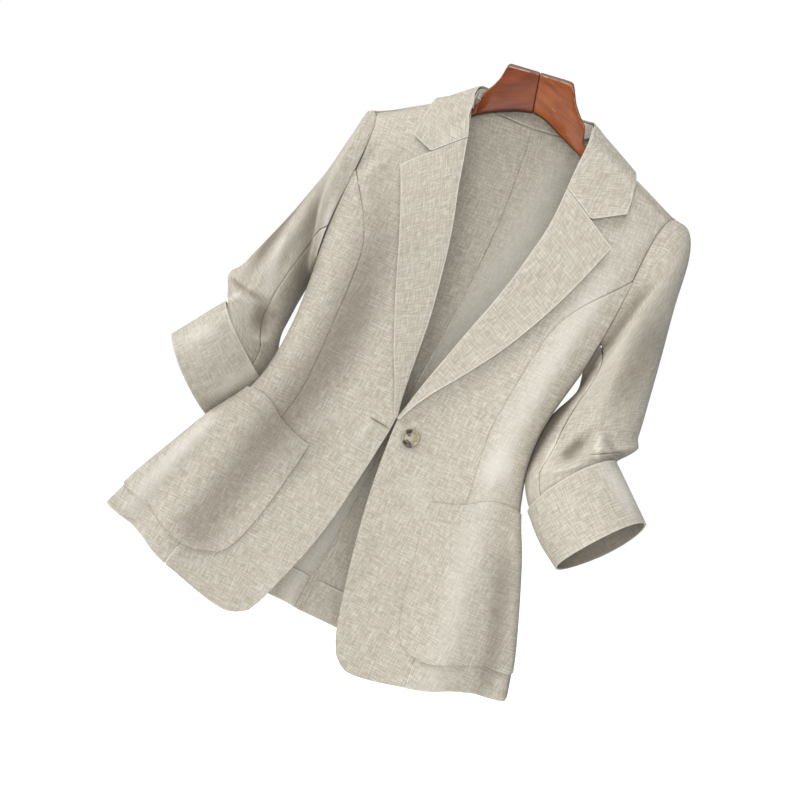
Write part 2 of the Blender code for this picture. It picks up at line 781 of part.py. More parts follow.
def clear_of_body(point, lift):
    """The point, moved up off the shoulder or out from the front or back where it would come nearer than lift."""
    half = abs(point.x - level(point.z)[0])
    if half < 0.05:
        return point
    behind = point.y > 0
    full = abs(body_depth(point.x, shoulder_height(half) - SHOULDER_FALL, behind))
    share = min(abs(point.y) / full, 0.999)
    surface = shoulder_height(half) - SHOULDER_FALL * (1 - math.sqrt(1 - share**2))
    if share < 0.7:
        point.z = max(point.z, surface + lift)
    elif under_shoulder(point.x, point.z) > 0:
        depth = body_depth(point.x, point.z, behind)
        point.y = max(point.y, depth + lift) if behind else min(point.y, depth - lift)
    return point


def make_collar(name):
    """The collar's fall: from the fold down over the shoulders and the ends of the lapels."""

    def place(u, v):
        g = 2 * u - 1
        fold, edge = collar_lines(g)
        point = fold.lerp(edge, v)
        near_end = ease((abs(g) - 0.78) / 0.22)
        point += neck_outward(g) * (COLLAR_ROLL * 4 * v * (1 - v) + 0.0022 * ease(v * 6)) * (1 - near_end)
        point.z += 0.0016 * (1 - ease(v * 4)) * (1 - near_end)
        point = clear_of_body(point, CLOTH + 0.0030)
        if near_end:
            side = math.copysign(1, g)
            tip = collar_lines(side)[1]
            tip.y = body_depth(tip.x, tip.z) - CLOTH - LAPEL_LIFT[1]
            notch = lapel_point(side, LAPEL_NOTCH, 1)
            end = lapel_point(side, LAPEL_NOTCH * v / COLLAR_NOTCH, 1)
            if v > COLLAR_NOTCH:
                end = notch.lerp(tip, (v - COLLAR_NOTCH) / (1 - COLLAR_NOTCH))
            start = clear_of_body(collar_lines(side)[0].lerp(collar_lines(side)[1], v), CLOTH + 0.0030)
            point += (end + Vector((0, 0, GAP)) - start) * near_end
        return point

    return cloth(name, place, 34, 6, -1)


def make_stand(name):
    """The collar's stand: from the neckline seam up to the fold, round the neck."""

    def place(u, v):
        g = (2 * u - 1) * STAND[-1][0]
        side = math.copysign(1, g)
        half, height, top = (smooth(STAND, abs(g), column) for column in (1, 2, 3))
        x = level(height)[0] + side * half
        inside = mix(-0.0004, 0.0024, ease((abs(g) - STAND_SHOULDER + 0.06) / 0.12))
        seam = Vector((x, body_depth(x, height, abs(g) < STAND_SHOULDER) + inside, height))
        return seam.lerp(collar_lines(g)[0], top * v)

    return cloth(name, place, 28, 2, -1, wall=0.0014, even=False)


# ---------------------------------------------------------------- sleeves and cuffs
SLEEVE_ROWS = numbered(SLEEVE)
SLEEVE_ROWS_MADE = len(SLEEVE_STEPS) - 1
CUFF_ROWS = {side_name: numbered(rows) for side_name, rows in CUFF.items()}


def swung(x, z, side_name, share):
    """A point of the forearm, swung about the elbow."""
    angle = SWING[side_name] * share
    dx, dz = x - ELBOW[0], z - ELBOW[1]
    turned_x = ELBOW[0] + dx * math.cos(angle) - dz * math.sin(angle)
    turned_z = ELBOW[1] + dx * math.sin(angle) + dz * math.cos(angle)
    return turned_x, turned_z + DROP[side_name] * share


def ring_point(rows, along, angle, side_name, swing, grow=0.0, ahead=0.0):
    """A point of a sleeve or cuff: along it from 0 to 1, and round it from the outer line by the front.

    The forearm comes forward: its rings are tipped, and move forward by the length ahead of the elbow."""
    side = SIDES[side_name]
    outer_x, outer_z, inner_x, inner_z, y, depth = (smooth(rows, along, column) for column in range(1, 7))
    outer_x, outer_z = swung(outer_x, outer_z, side_name, swing)
    inner_x, inner_z = swung(inner_x, inner_z, side_name, swing)
    forward = FORWARD[side_name] * swing
    y -= math.tan(forward) * ahead
    outer, inner = Vector((outer_x, y, outer_z)), Vector((inner_x, y, inner_z))
    middle, half = (outer + inner) / 2, (outer - inner) / 2
    half *= 1 + grow / half.length
    down = Vector((half.z, 0, -half.x)).normalized() * (-1 if half.z < 0 else 1)
    tipped = Vector((0, -1, 0)) * math.cos(forward) - down * math.sin(forward)
    point = middle + half * math.cos(angle) + tipped * ((depth + grow) * math.sin(angle))
    inner_share = swing * ((1 - math.cos(angle)) / 2) ** 2
    point += Vector((CLEAR[side_name], TUCK[side_name], 0)) * inner_share
    return Vector((level(point.z)[0] + side * point.x, point.y, point.z))


def armhole_point(angle, side_name, lift=0.0):
    """The body's armhole edge at an angle round from the shoulder tip by the front."""
    side = SIDES[side_name]
    wrapped = (angle + math.pi) % (2 * math.pi) - math.pi
    turn, height = armhole(side, abs(wrapped), back=wrapped < 0)
    return body_point(turn, height, lift)


def sleeve_point(along, angle, side_name, lift=0.0):
    side = SIDES[side_name]
    swing = ease((along - 0.62) / 0.2)
    fold = 0.0
    for at, turn, half, width, depth in SLEEVE_FOLDS:
        fold += depth * bump(along - at, half) * bump((angle - turn + math.pi) % (2 * math.pi) - math.pi, width)
    point = ring_point(SLEEVE_ROWS, along, angle, side_name, swing, lift + fold)
    point.x += side * smooth(SPREAD[side_name], along) * (0.5 + 0.5 * math.cos(angle))
    point.x -= side * smooth(CLOSE[side_name], along) * (0.5 - 0.5 * math.cos(angle)) ** 1.5
    near = (1 - ease(along / 0.22)) ** 1.5
    if near > 0:
        start = ring_point(SLEEVE_ROWS, 0, angle, side_name, 0)
        point += (armhole_point(angle, side_name) - start) * near
        point.x += side * SLEEVE_GAP * near
    return point


def make_top_sleeve(name, side_name):
    side = SIDES[side_name]

    def place(u, v):
        t = 2 * u - 1
        reach = (FRONT_SEAM if t > 0 else BACK_SEAM) - SLEEVE_SEAM
        angle = math.copysign(reach * abs(t) ** 1.6, t)
        return sleeve_point(SLEEVE_STEPS[round((1 - v) * SLEEVE_ROWS_MADE)], angle, side_name)

    return cloth(name, place, 18, SLEEVE_ROWS_MADE, -side)


def make_under_sleeve(name, side_name):
    side = SIDES[side_name]

    def place(u, v):
        angle = mix(FRONT_SEAM + SLEEVE_SEAM, 2 * math.pi - BACK_SEAM - SLEEVE_SEAM, u)
        return sleeve_point(SLEEVE_STEPS[round((1 - v) * SLEEVE_ROWS_MADE)], angle, side_name)

    return cloth(name, place, 9, SLEEVE_ROWS_MADE, -side)


def make_cuff(name, side_name):
    """The cuff turned up over the end of the sleeve."""
    side = SIDES[side_name]

    def place(u, v):
        return ring_point(CUFF_ROWS[side_name], 1 - v, 2 * math.pi * u, side_name, 1, ahead=CUFF_LENGTH * (1 - v))

    return cloth(name, place, 26, 3, -side, CUFF_CLOTH, closed=True)


# ---------------------------------------------------------------- hanger, hook seat and button
def make_hanger(name, side_name):
    """Half of the hanger: a rounded bar lofted along its arm."""
    side, rows = SIDES[side_name], numbered(HANGER[side_name])
    around, along = 12, 22
    lean = Matrix.Rotation(-HANGER_LEAN, 4, "Y")
    mesh = bmesh.new()
    bmesh.ops.create_grid(mesh, x_segments=around, y_segments=along, size=0.5)
    for vert in mesh.verts:
        angle = (vert.co.x + 0.5) * 2 * math.pi
        half, top, bottom, thick = (smooth(rows, vert.co.y + 0.5, column) for column in range(1, 5))
        across, upward = math.cos(angle), math.sin(angle)
        square = 0.5
        across = math.copysign(abs(across) ** square, across)
        upward = math.copysign(abs(upward) ** square, upward)
        y = HANGER_Y - HANGER_CURVE * (half / HANGER[side_name][-1][0]) ** 2 + thick * across
        z = (top + bottom) / 2 + (top - bottom) / 2 * upward
        shift = -JOINT_LEAN * z * (1 - ease(half / JOINT_REACH))
        vert.co = lean @ Vector((side * half + shift, y, z))
    bmesh.ops.remove_doubles(mesh, verts=mesh.verts, dist=0.00002)
    bmesh.ops.holes_fill(mesh, edges=mesh.edges)
    bmesh.ops.recalc_face_normals(mesh, faces=mesh.faces)
    half = finish(name, mesh, "wood")
    nick = rod(SEAT_RADIUS + NICK_ROOM, -SEAT_HEIGHT - NICK_ROOM, 0.010, y=HANGER_Y)
    cut(half, cutter_of("nick_" + name, nick))
    return half


def make_hook_seat(name):
    """The metal seat of the hook: a short stud let into the joint of the two halves."""
    return finish(name, rod(SEAT_RADIUS, -SEAT_HEIGHT, 0.0, y=HANGER_Y), "steel")


def make_button(name):
    """A turned button with a rim and four holes, standing a thread's depth off the left front."""
    offset, height = BUTTON_PLACE
    turn = turn_at(front_x(height) + offset, height)
    rim, dish = BUTTON_RADIUS, BUTTON_RADIUS * 0.72
    profile = (
        (0.0, BUTTON_THICK * 0.62),
        (dish * 0.8, BUTTON_THICK * 0.62),
        (dish, BUTTON_THICK * 0.78),
        (dish * 1.13, BUTTON_THICK),
        (rim * 0.93, BUTTON_THICK * 0.97),
        (rim, BUTTON_THICK * 0.62),
        (rim * 0.90, BUTTON_THICK * 0.18),
        (rim * 0.70, 0.0),
        (0.0, 0.0),
    )
    mesh = bmesh.new()
    points = [mesh.verts.new((x, 0, z)) for x, z in profile]
    for first, second in zip(points, points[1:]):
        mesh.edges.new((first, second))
    obj = finish(name, mesh, "horn")
    screw = obj.modifiers.new("turned", "SCREW")
    screw.steps = screw.render_steps = 24
    screw.use_merge_vertices = True
    screw.merge_threshold = 0.00005
    obj.location = hang(body_point(turn, height, 0.0012))
    obj.rotation_mode = "QUATERNION"
    obj.rotation_quaternion = outward(turn, height).to_track_quat("Z", "Y")
    for k in range(4):
        angle = math.pi / 4 + k * math.pi / 2
        x, y = 0.0021 * math.cos(angle), 0.0021 * math.sin(angle)
        hole = cutter_of(f"hole_{k}", rod(0.0009, -BUTTON_THICK, 2 * BUTTON_THICK, x, y, segments=10))
        hole.location = obj.location
        hole.rotation_mode = "QUATERNION"
        hole.rotation_quaternion = obj.rotation_quaternion
        cut(obj, hole)
    return obj


clear_scene()
blazer = bpy.data.collections.new("blazer")
cutters = bpy.data.collections.new("cutters")
for group in (blazer, cutters):
    bpy.context.scene.collection.children.link(group)

for side_name, side in SIDES.items():
    make_front(f"front_{side_name}", side)
    make_side_front(f"side_front_{side_name}", side)
    make_back(f"back_{side_name}", side)
    make_hem_turn(f"hem_turn_{side_name}", side)
    make_pocket(f"pocket_{side_name}", side)
    make_lapel(f"lapel_{side_name}", side)
    make_top_sleeve(f"top_sleeve_{side_name}", side_name)
    make_under_sleeve(f"under_sleeve_{side_name}", side_name)
    make_cuff(f"cuff_{side_name}", side_name)
    make_hanger(f"hanger_{side_name}", side_name)
make_collar("collar")
make_stand("collar_stand")
make_hook_seat("hook_seat")
make_button("button")
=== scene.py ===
"""The looks of a single breasted linen blazer hanging on its wooden hanger.

Metres, +Z up, the front towards -Y, the wearer's left at +X. The origin is the top of the metal hook
seat. Every piece of cloth is a thin shell laid on its solid's form, with its creases pressed in.
"""

import math

import bmesh
import bpy
import numpy as np
from mathutils import Matrix, Vector


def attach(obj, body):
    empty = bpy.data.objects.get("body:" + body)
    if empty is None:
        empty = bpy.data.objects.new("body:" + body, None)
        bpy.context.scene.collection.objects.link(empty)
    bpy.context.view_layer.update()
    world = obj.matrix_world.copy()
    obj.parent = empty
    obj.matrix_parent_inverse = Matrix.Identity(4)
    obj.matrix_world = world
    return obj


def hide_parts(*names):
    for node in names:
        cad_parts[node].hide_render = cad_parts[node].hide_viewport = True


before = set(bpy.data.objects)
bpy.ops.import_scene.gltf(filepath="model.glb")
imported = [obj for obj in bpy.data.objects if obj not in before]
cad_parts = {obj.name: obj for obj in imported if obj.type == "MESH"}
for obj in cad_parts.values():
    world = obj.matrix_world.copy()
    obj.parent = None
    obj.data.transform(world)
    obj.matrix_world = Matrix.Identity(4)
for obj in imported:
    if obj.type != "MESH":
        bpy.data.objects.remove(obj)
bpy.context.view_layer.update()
SIDES = {"left": 1, "right": -1}

# ---- the studio
# A plain pale floor well below the hanging blazer and white all round. A broad soft light stands far to
# the left, a weaker one in front and one above. The camera is tilted, as if the blazer hung at an angle.
VIEW_TARGET = Vector((0.0046, 0.0, -0.3997))
VIEW_YAW, VIEW_PITCH, VIEW_ROLL = (math.radians(angle) for angle in (10, 2, 24))
VIEW_DISTANCE = 1.139

level_share = math.cos(VIEW_PITCH)
back = Vector((math.sin(VIEW_YAW) * level_share, -math.cos(VIEW_YAW) * level_share, math.sin(VIEW_PITCH)))
right = Vector((0, 0, 1)).cross(back).normalized()
up = back.cross(right)
rolled_right = right * math.cos(VIEW_ROLL) + up * math.sin(VIEW_ROLL)
rolled_up = -right * math.sin(VIEW_ROLL) + up * math.cos(VIEW_ROLL)
camera = bpy.data.objects.new("camera", bpy.data.cameras.new("camera"))
camera.data.lens = 45
camera.data.sensor_width = 36
camera.matrix_world = Matrix.Translation(VIEW_TARGET + back * VIEW_DISTANCE) @ Matrix(
    (rolled_right, rolled_up, back)
).transposed().to_4x4()
bpy.context.scene.collection.objects.link(camera)
bpy.context.scene.camera = camera
bpy.context.scene.view_settings.view_transform = "Standard"

world = bpy.data.worlds.new("studio")
bpy.context.scene.world = world
world.use_nodes = True
backdrop = world.node_tree.nodes["Background"]
backdrop.inputs["Color"].default_value = (1, 1, 1, 1)
seen = world.node_tree.nodes.new("ShaderNodeLightPath")
white = world.node_tree.nodes.new("ShaderNodeMapRange")
white.inputs["To Min"].default_value = 0.19  # what lights the blazer from all round
white.inputs["To Max"].default_value = 1.0  # what stands behind it
world.node_tree.links.new(seen.outputs["Is Camera Ray"], white.inputs["Value"])
world.node_tree.links.new(white.outputs["Result"], backdrop.inputs["Strength"])


def soft_light(name, place, size, power):
    """A square area light that faces the blazer. Its size in metres, its power in watts."""
    lamp = bpy.data.objects.new(name, bpy.data.lights.new(name, "AREA"))
    lamp.data.size = size
    lamp.data.energy = power
    lamp.location = place
    lamp.rotation_euler = (VIEW_TARGET - Vector(place)).to_track_quat("-Z", "Y").to_euler()
    bpy.context.scene.collection.objects.link(lamp)


soft_light("key", (-6.75, -1.35, 1.1), 3.0, 215)
soft_light("front", (0.6, -3.3, -0.1), 2.6, 67)
soft_light("top", (-0.9, -1.5, 2.6), 2.0, 48)


def lay_floor():
    mesh = bmesh.new()
    bmesh.ops.create_circle(mesh, cap_ends=True, segments=96, radius=8.0)
    data = bpy.data.meshes.new("floor")
    mesh.to_mesh(data)
    mesh.free()
    floor = bpy.data.objects.new("floor", data)
    floor.location.z = -1.25
    bpy.context.scene.collection.objects.link(floor)
    paint = bpy.data.materials.new("pale floor")
    paint.use_nodes = True
    tree = paint.node_tree
    shader = tree.nodes["Principled BSDF"].inputs
    shader["Base Color"].default_value = (0.9, 0.9, 0.9, 1)
    shader["Roughness"].default_value = 0.9
    shader["Emission Color"].default_value = (1, 1, 1, 1)
    seen_straight = tree.nodes.new("ShaderNodeLightPath").outputs["Is Camera Ray"]
    tree.links.new(seen_straight, shader["Emission Strength"])  # as white as the wall behind it
    data.materials.append(paint)


lay_floor()

# ---- the linen
# Yarn-dyed linen in a plain weave, greige with ivory slubs that run along both threads. Its grain follows
# each pattern piece through the piece's own UV map, in metres. Painted highlights lighten its free edges
# and crease crests, and painted shade darkens its seams, stitching and crease troughs. Inside the cuffs
# it is darkened all over with painted shade.


class Wire:
    """A socket that can be used in Python expressions, which add the nodes."""

    def __init__(self, tree, socket):
        self.tree, self.socket = tree, socket

    def node(self, kind, settings=(), inputs=(), output=0):
        made = self.tree.nodes.new(kind)
        for name, value in dict(settings).items():
            setattr(made, name, value)
        for name, value in dict(inputs).items():
            if isinstance(value, Wire):
                self.tree.links.new(value.socket, made.inputs[name])
            else:
                made.inputs[name].default_value = value
        return Wire(self.tree, made.outputs[output])

    def math(self, operation, first, second):
        return self.node("ShaderNodeMath", {"operation": operation}, {0: first, 1: second})

    def __add__(self, other):
        return self.math("ADD", self, other)

    def __sub__(self, other):
        return self.math("SUBTRACT", self, other)

    def __rsub__(self, other):
        return self.math("SUBTRACT", other, self)

    def __mul__(self, other):
        return self.math("MULTIPLY", self, other)

    def rises(self, low, high):
        """0 below low, 1 above high, smooth in between."""
        inputs = {"Value": self, "From Min": low, "From Max": high}
        return self.node("ShaderNodeMapRange", {"interpolation_type": "SMOOTHSTEP"}, inputs)

    def stretched(self, scale, offset=(0, 0, 0), turned=0.0):
        inputs = {"Vector": self, "Scale": scale, "Location": offset, "Rotation": (0, 0, turned)}
        return self.node("ShaderNodeMapping", (), inputs)

    def noise(self, detail=2.0, roughness=0.5, distortion=0.0):
        inputs = {"Vector": self, "Scale": 1.0, "Detail": detail, "Roughness": roughness}
        return self.node("ShaderNodeTexNoise", (), inputs | {"Distortion": distortion})

    def mark(self, name):
        """A value kept on the mesh's own points."""
        return self.node("ShaderNodeAttribute", {"attribute_name": name}, (), "Fac")

    def tint(self, low, high):
        """From the colour low at 0 to the colour high at 1."""
        start, end = (colour if isinstance(colour, Wire) else (*colour, 1) for colour in (low, high))
        return self.node("ShaderNodeMix", {"data_type": "RGBA"}, {"Factor": self, 6: start, 7: end}, 2)


def new_material(name, roughness, specular=0.5, **constants):
    """A material, its shader, and a Wire to start expressions from."""
    made = bpy.data.materials.new(name)
    made.use_nodes = True
    tree = made.node_tree
    shader = tree.nodes["Principled BSDF"]
    shader.inputs["Roughness"].default_value = roughness
    shader.inputs["Specular IOR Level"].default_value = specular
    for socket, value in constants.items():
        shader.inputs[socket.replace("_", " ")].default_value = value
    coordinates = tree.nodes.new("ShaderNodeTexCoord")
    return made, shader, Wire(tree, coordinates.outputs["UV"]), Wire(tree, coordinates.outputs["Object"])


def feed(shader, socket, wire):
    wire.tree.links.new(wire.socket, shader.inputs[socket])


def bump_up(shader, height, distance, strength=1.0):
    inputs = {"Height": height, "Distance": distance, "Strength": strength}
    feed(shader, "Normal", height.node("ShaderNodeBump", (), inputs))


LINEN_GREIGE = (0.530, 0.488, 0.405)
LINEN_SHADE = (0.375, 0.335, 0.265)
LINEN_IVORY = (0.800, 0.770, 0.690)
LINEN_DEEP = (0.150, 0.125, 0.088)  # painted shade, down in the troughs where little light comes, and inside the cuffs


def weave_linen(name, shade=0.0):
    """Threads across and along, each a little lighter or darker than its neighbours, and the slubs."""
    made, shader, uv, _ = new_material(name, 0.88, 0.12, Sheen_Weight=0.10, Sheen_Roughness=0.6)
    warp = uv.stretched((680, 70, 1)).noise(3.0, 0.7)
    weft = uv.stretched((70, 680, 1), (0, 0, 3)).noise(3.0, 0.7)
    blotch = uv.stretched((34, 34, 1), (0, 0, 9)).noise(3.0, 0.55)
    warp_slub = uv.stretched((460, 30, 1), (0, 5, 20)).noise(1.0, 0.4).rises(0.64, 0.78)
    weft_slub = uv.stretched((30, 460, 1), (5, 0, 30)).noise(1.0, 0.4).rises(0.64, 0.78)
    depth = (warp + weft) * 0.5
    threads = (depth.rises(0.34, 0.58) * 0.85 + 0.15).tint(LINEN_SHADE, LINEN_GREIGE)
    mottled = (blotch.rises(0.3, 0.7) * 0.35).tint(threads, LINEN_GREIGE)
    lit = (depth.rises(0.44, 0.66) * 0.55).tint(mottled, LINEN_IVORY)
    slubs = warp_slub.math("MAXIMUM", warp_slub, weft_slub)
    yarns = (slubs * 0.45).tint(lit, LINEN_IVORY)
    # painted highlight towards ivory along free edges, and painted shade along seams and stitched lines
    edge = uv.mark("edge")
    wear_and_edge_highlight = (edge.math("MAXIMUM", edge, 0.0) * 0.55).tint(yarns, LINEN_IVORY)
    seamed = (edge.math("MINIMUM", edge, 0.0) * -0.6).tint(wear_and_edge_highlight, LINEN_SHADE)
    # painted shade towards LINEN_DEEP in crease troughs, and a painted highlight towards ivory on crease
    # crests; shade darkens it all over the same way
    trough = uv.mark("trough")
    crest = (trough.math("MINIMUM", trough, 0.0) * -0.65).tint(seamed, LINEN_IVORY)
    feed(shader, "Base Color", (trough.math("MAXIMUM", trough, 0.0) * 0.75 + shade).tint(crest, LINEN_DEEP))
    bump_up(shader, depth + slubs * 0.5, 0.0004, 0.8)
    return made


linen = weave_linen("greige linen")
# painted shade: a darker copy of the linen for the cuffs' inner faces
shaded_linen = weave_linen("greige linen, inside the cuffs", 0.6)

# ---- the body of the blazer
# Centre fronts, side fronts and the back are cut from single linen and sewn edge to edge. They hang as one
# surface: turn runs from 0 at the centre front through +-1 at the side seams to +-2 at the centre back.


def in_metres(rows, plain=()):
    """A table written in millimetres, apart from its plain columns."""
    return tuple(tuple(v if k in plain else v * 0.001 for k, v in enumerate(row)) for row in rows)


# height, middle x, half width, front y, back y, centre front x, centre back x
LEVELS = in_metres(
    (
        (-40, 12, 205, -18, 24, 12, 12), (-100, 21, 200, -33, 35, 22, 17), (-160, 22, 190, -45, 42, 30, 19),
        (-220, 20, 178, -53, 45, 31.8, 18), (-300, 15, 162, -54, 44, 25.5, 14),
        (-380, 10, 155, -49, 39, 15.9, 8), (-450, 10, 167.5, -47, 38, 11.9, 4),
        (-505, 5, 197, -47, 38, 10, 0), (-560, 1, 222, -48, 39, 9.5, -4), (-610, -3, 243, -49, 40, 7.6, -8),
        (-660, -7, 259, -50, 40, 4.7, -11), (-720, -10, 273, -51, 40, 3.8, -13),
    ),
)
ROUNDNESS = 2.4
SHOULDER_TIP, SHOULDER_TOP, SHOULDER_SLOPE, SHOULDER_FALL = 0.188, -0.103, 0.46, 0.065
NECK_HALF, BACK_NECK = 0.074, -0.0535
ASKEW = ((-0.200, 0.0), (-0.150, 0.012), (-0.100, 0.032), (-0.060, 0.036), (-0.020, 0.050))
ARM_MIDDLE, ARM_HALF, ARM_TIP_TURN, ARM_FRONT_SCOOP, ARM_BACK_SCOOP = -0.1965, 0.0935, 0.30, 0.20, 0.15
PRINCESS_TOP, PRINCESS_FOOT = -0.182, -0.680
PRINCESS_BEND = 0.08  # the height over which its top bends into the armhole
METRES_A_TURN = 0.16  # round the body at the princess seam, roughly
# A grid's rows run closer together above SEAM_SHARE of the way up. That is at the armhole on its outer
# side, and at these heights on its inner one.
SEAM_SHARE, FRONT_MIDDLE, BACK_MIDDLE = 4 / 7, -0.210, -0.300
SEAM_GAP = 0.0004
# How far the fronts fall back towards each other at the centre: height, how far.
HOLLOW = in_metres(
    (
        (-150, 0), (-200, 9), (-250, 20), (-300, 26), (-380, 29), (-450, 29), (-505, 28), (-560, 26),
        (-610, 25), (-660, 24), (-720, 24),
    ),
)
HOLLOW_REACH = (0.28, 1.0)  # where the fall ends and starts, as shares of the half width
HOLLOW_PARTS = (0.8, 0.2)  # how much of it keeps to that reach, and how much starts at the centre
FRONT_SQUARE = 0.5  # exponent of the front's depth: less is squarer
# The front edge, up the roll line to the neck: height, half width from the centre front line.
FRONT_EDGE = in_metres(
    (
        (-686.5, 56), (-680, 52.5), (-667, 46.5), (-650, 41), (-600, 27), (-550, 16), (-500, 8.5),
        (-460, 4), (-420, 1.2), (-400, 5), (-350, 14), (-300, 23.5), (-250, 35), (-200, 46), (-160, 55),
        (-120, 60.5), (-80, 66), (-50.6, 73.5),
    ),
)
# The princess seam: height, half width from the middle.
PRINCESS = in_metres(
    (
        (-690, 155), (-660, 150), (-610, 141), (-560, 132), (-500, 121), (-460, 113), (-420, 107),
        (-380, 105.5), (-340, 107), (-300, 109.5), (-260, 115), (-225, 129), (-200, 145), (-182, 159),
    ),
)
# The hem: turn, height.
HEM = in_metres(
    (
        (0, -699), (0.16, -698.5), (0.23, -693.5), (0.32, -684), (0.42, -673), (0.52, -662), (0.75, -652),
        (1.0, -649), (1.3, -660), (1.65, -673), (2.0, -678),
    ),
    plain=(0,),
)
# Soft flutes that open towards the hem: turn, half width in turn, depth at the hem.
FLUTES = (
    (0.40, 0.13, 0.005),
    (0.60, 0.12, -0.007),
    (0.82, 0.13, 0.006),
    (1.16, 0.12, -0.006),
    (1.38, 0.14, 0.007),
    (1.62, 0.13, -0.006),
)
FLUTE_TOP = -0.44
CORNER_RISE, CORNER_WIDTH = 0.0125, 0.22  # of each front's rounded lower corner, the width as a share
SIDE_SEAM_TURN = 0.0004
TOP_LAP = 0.0008  # how far the side front laps the front where their seam runs into the armhole
CROWDED = 1.5  # how closely the back's columns lie at the side seam
NECK_SHARE = 1 - (5 / 9) ** CROWDED


def smooth(rows, at, column=1):
    """A column's values on a smooth curve through the rows, at each place in an array."""
    table = np.array(rows if rows[0][0] < rows[-1][0] else rows[::-1], float)
    places, values = table[:, 0], table[:, column]
    each = np.arange(len(places))
    low, high = np.maximum(each - 1, 0), np.minimum(each + 1, len(places) - 1)
    slopes = (values[high] - values[low]) / (places[high] - places[low])
    at = np.clip(at, places[0], places[-1])
    i = np.searchsorted(places[1:-1], at, side="left")
    span = places[i + 1] - places[i]
    t = (at - places[i]) / span
    leave, arrive, rise = slopes[i] * span, slopes[i + 1] * span, values[i + 1] - values[i]
    return values[i] + t * (leave + t * ((3 * rise - 2 * leave - arrive) + t * (leave + arrive - 2 * rise)))


def mix(a, b, t):
    return a + (b - a) * t


def ease(t):
    t = np.clip(t, 0.0, 1.0)
    return t * t * (3 - 2 * t)


def bump(distance, half):
    return ease(1 - np.abs(distance) / half)


def level(height):
    return [smooth(LEVELS, height, column) for column in range(1, 7)]


def front_x(height):
    return smooth(LEVELS, height, 5)


def turn_at(x, height, behind=False):
    """The turn at which the body's section passes through x."""
    middle, half, _, _, centre_front, centre_back = level(height)
    centre = centre_back if behind else centre_front
    sign = np.where(x < centre, -1.0, 1.0)
    share = np.clip((x - centre) / (middle + sign * half - centre), 0.0, 1.0)
    quarter = np.arcsin(share ** (ROUNDNESS / 2)) / (math.pi / 2)
    return sign * (2 - quarter if behind else quarter)


def shoulder_height(half):
    return SHOULDER_TOP + SHOULDER_SLOPE * (SHOULDER_TIP - half)


def under_shoulder(x, height):
    return shoulder_height(np.abs(x - level(height)[0])) - height


def hollow_share(across):
    """How much of the hollow between the fronts is left at a share of the half width."""
    start, stop = HOLLOW_REACH
    broad, narrow = HOLLOW_PARTS
    return broad * ease((stop - across) / (stop - start)) + narrow * ease(1 - across / stop)


def raw_point(turn, height):
    middle, half, front, rear, centre_front, centre_back = level(height)
    sign = np.where(turn < 0, -1.0, 1.0)
    behind = np.abs(turn) > 1
    centre, depth = np.where(behind, centre_back, centre_front), np.where(behind, rear, front)
    angle = np.where(behind, 2 - np.abs(turn), np.abs(turn)) * math.pi / 2
    across = np.maximum(np.sin(angle), 0.0) ** (2 / ROUNDNESS)
    along = np.maximum(np.cos(angle), 0.0) ** np.where(behind, 2 / ROUNDNESS, FRONT_SQUARE)
    x = mix(centre, middle + sign * half, across)
    fall = np.clip(under_shoulder(x, height) / SHOULDER_FALL, 0.0, 1.0)
    rise = np.sqrt(1 - (1 - fall) ** 2)
    y = depth * along * rise + SEAM_GAP / 2 * np.where(behind, 1, -1) * (1 - rise)
    y = y + np.where(behind, 0.0, smooth(HOLLOW, height) * hollow_share(across))
    return np.stack((x, y, height), axis=-1)


def unit(vectors):
    return vectors / np.maximum(np.linalg.norm(vectors, axis=-1, keepdims=True), 1e-9)


def outward(turn, height):
    step = 0.004
    along = raw_point(turn + step, height) - raw_point(turn - step, height)
    upward = raw_point(turn, height + step) - raw_point(turn, height - step)
    return unit(np.cross(along, upward))


def flute(turn, height):
    open_share = ease((FLUTE_TOP - height) / (FLUTE_TOP - HEM[0][1]))
    return open_share * sum(depth * bump(np.abs(turn) - at, half) for at, half, depth in FLUTES)


def body_point(turn, height, lift=0.0):
    turn, height = np.broadcast_arrays(np.asarray(turn, float), np.asarray(height, float))
    rise = np.asarray(lift + flute(turn, height))[..., None]
    return raw_point(turn, height) + outward(turn, height) * rise


def girth(turn, height):
    """How far round the body a point lies from the centre front, or from the centre back if behind it."""
    start = np.where(np.abs(turn) > 1, np.sign(turn) * 2, 0)
    walked, last = 0.0, raw_point(start, height)
    for share in np.linspace(0, 1, 17)[1:]:
        here = raw_point(mix(start, turn, share), height)
        walked, last = walked + np.linalg.norm(here - last, axis=-1), here
    return walked * np.sign(turn)


def body_depth(x, height, behind=False):
    return raw_point(turn_at(x, height, behind), height)[..., 1]


def hang(points):
    """The points with the blazer a little askew on its hanger."""
    hung = points.copy()
    hung[..., 2] += smooth(ASKEW, points[..., 2]) * (points[..., 0] - 0.021)
    return hung


def front_line(table, side, height):
    return turn_at(front_x(height) + side * smooth(table, height), height), height


def armhole(side, angle, behind=False):
    height = ARM_MIDDLE + ARM_HALF * np.cos(angle)
    scoop = ARM_BACK_SCOOP if behind else ARM_FRONT_SCOOP
    inset = ARM_TIP_TURN * ((1 + np.cos(angle)) / 2) ** 1.5 + scoop * np.maximum(np.sin(angle), 0.0) ** 1.1
    return side * (1 + inset if behind else 1 - inset), height


def armhole_angle(height):
    return np.arccos(np.clip((height - ARM_MIDDLE) / ARM_HALF, -1.0, 1.0))


def princess(side, height, trim=0.0):
    """The princess seam, moved towards the centre front by trim. Its top runs into the armhole."""

    def plain(at):
        return turn_at(level(at)[0] + side * smooth(PRINCESS, at), at)

    top = np.array(PRINCESS_TOP)
    meets = armhole(side, armhole_angle(top))[0] - plain(top)
    bend = meets * ease((height - PRINCESS_TOP + PRINCESS_BEND) / PRINCESS_BEND)
    return plain(height) + bend - side * trim / METRES_A_TURN, height


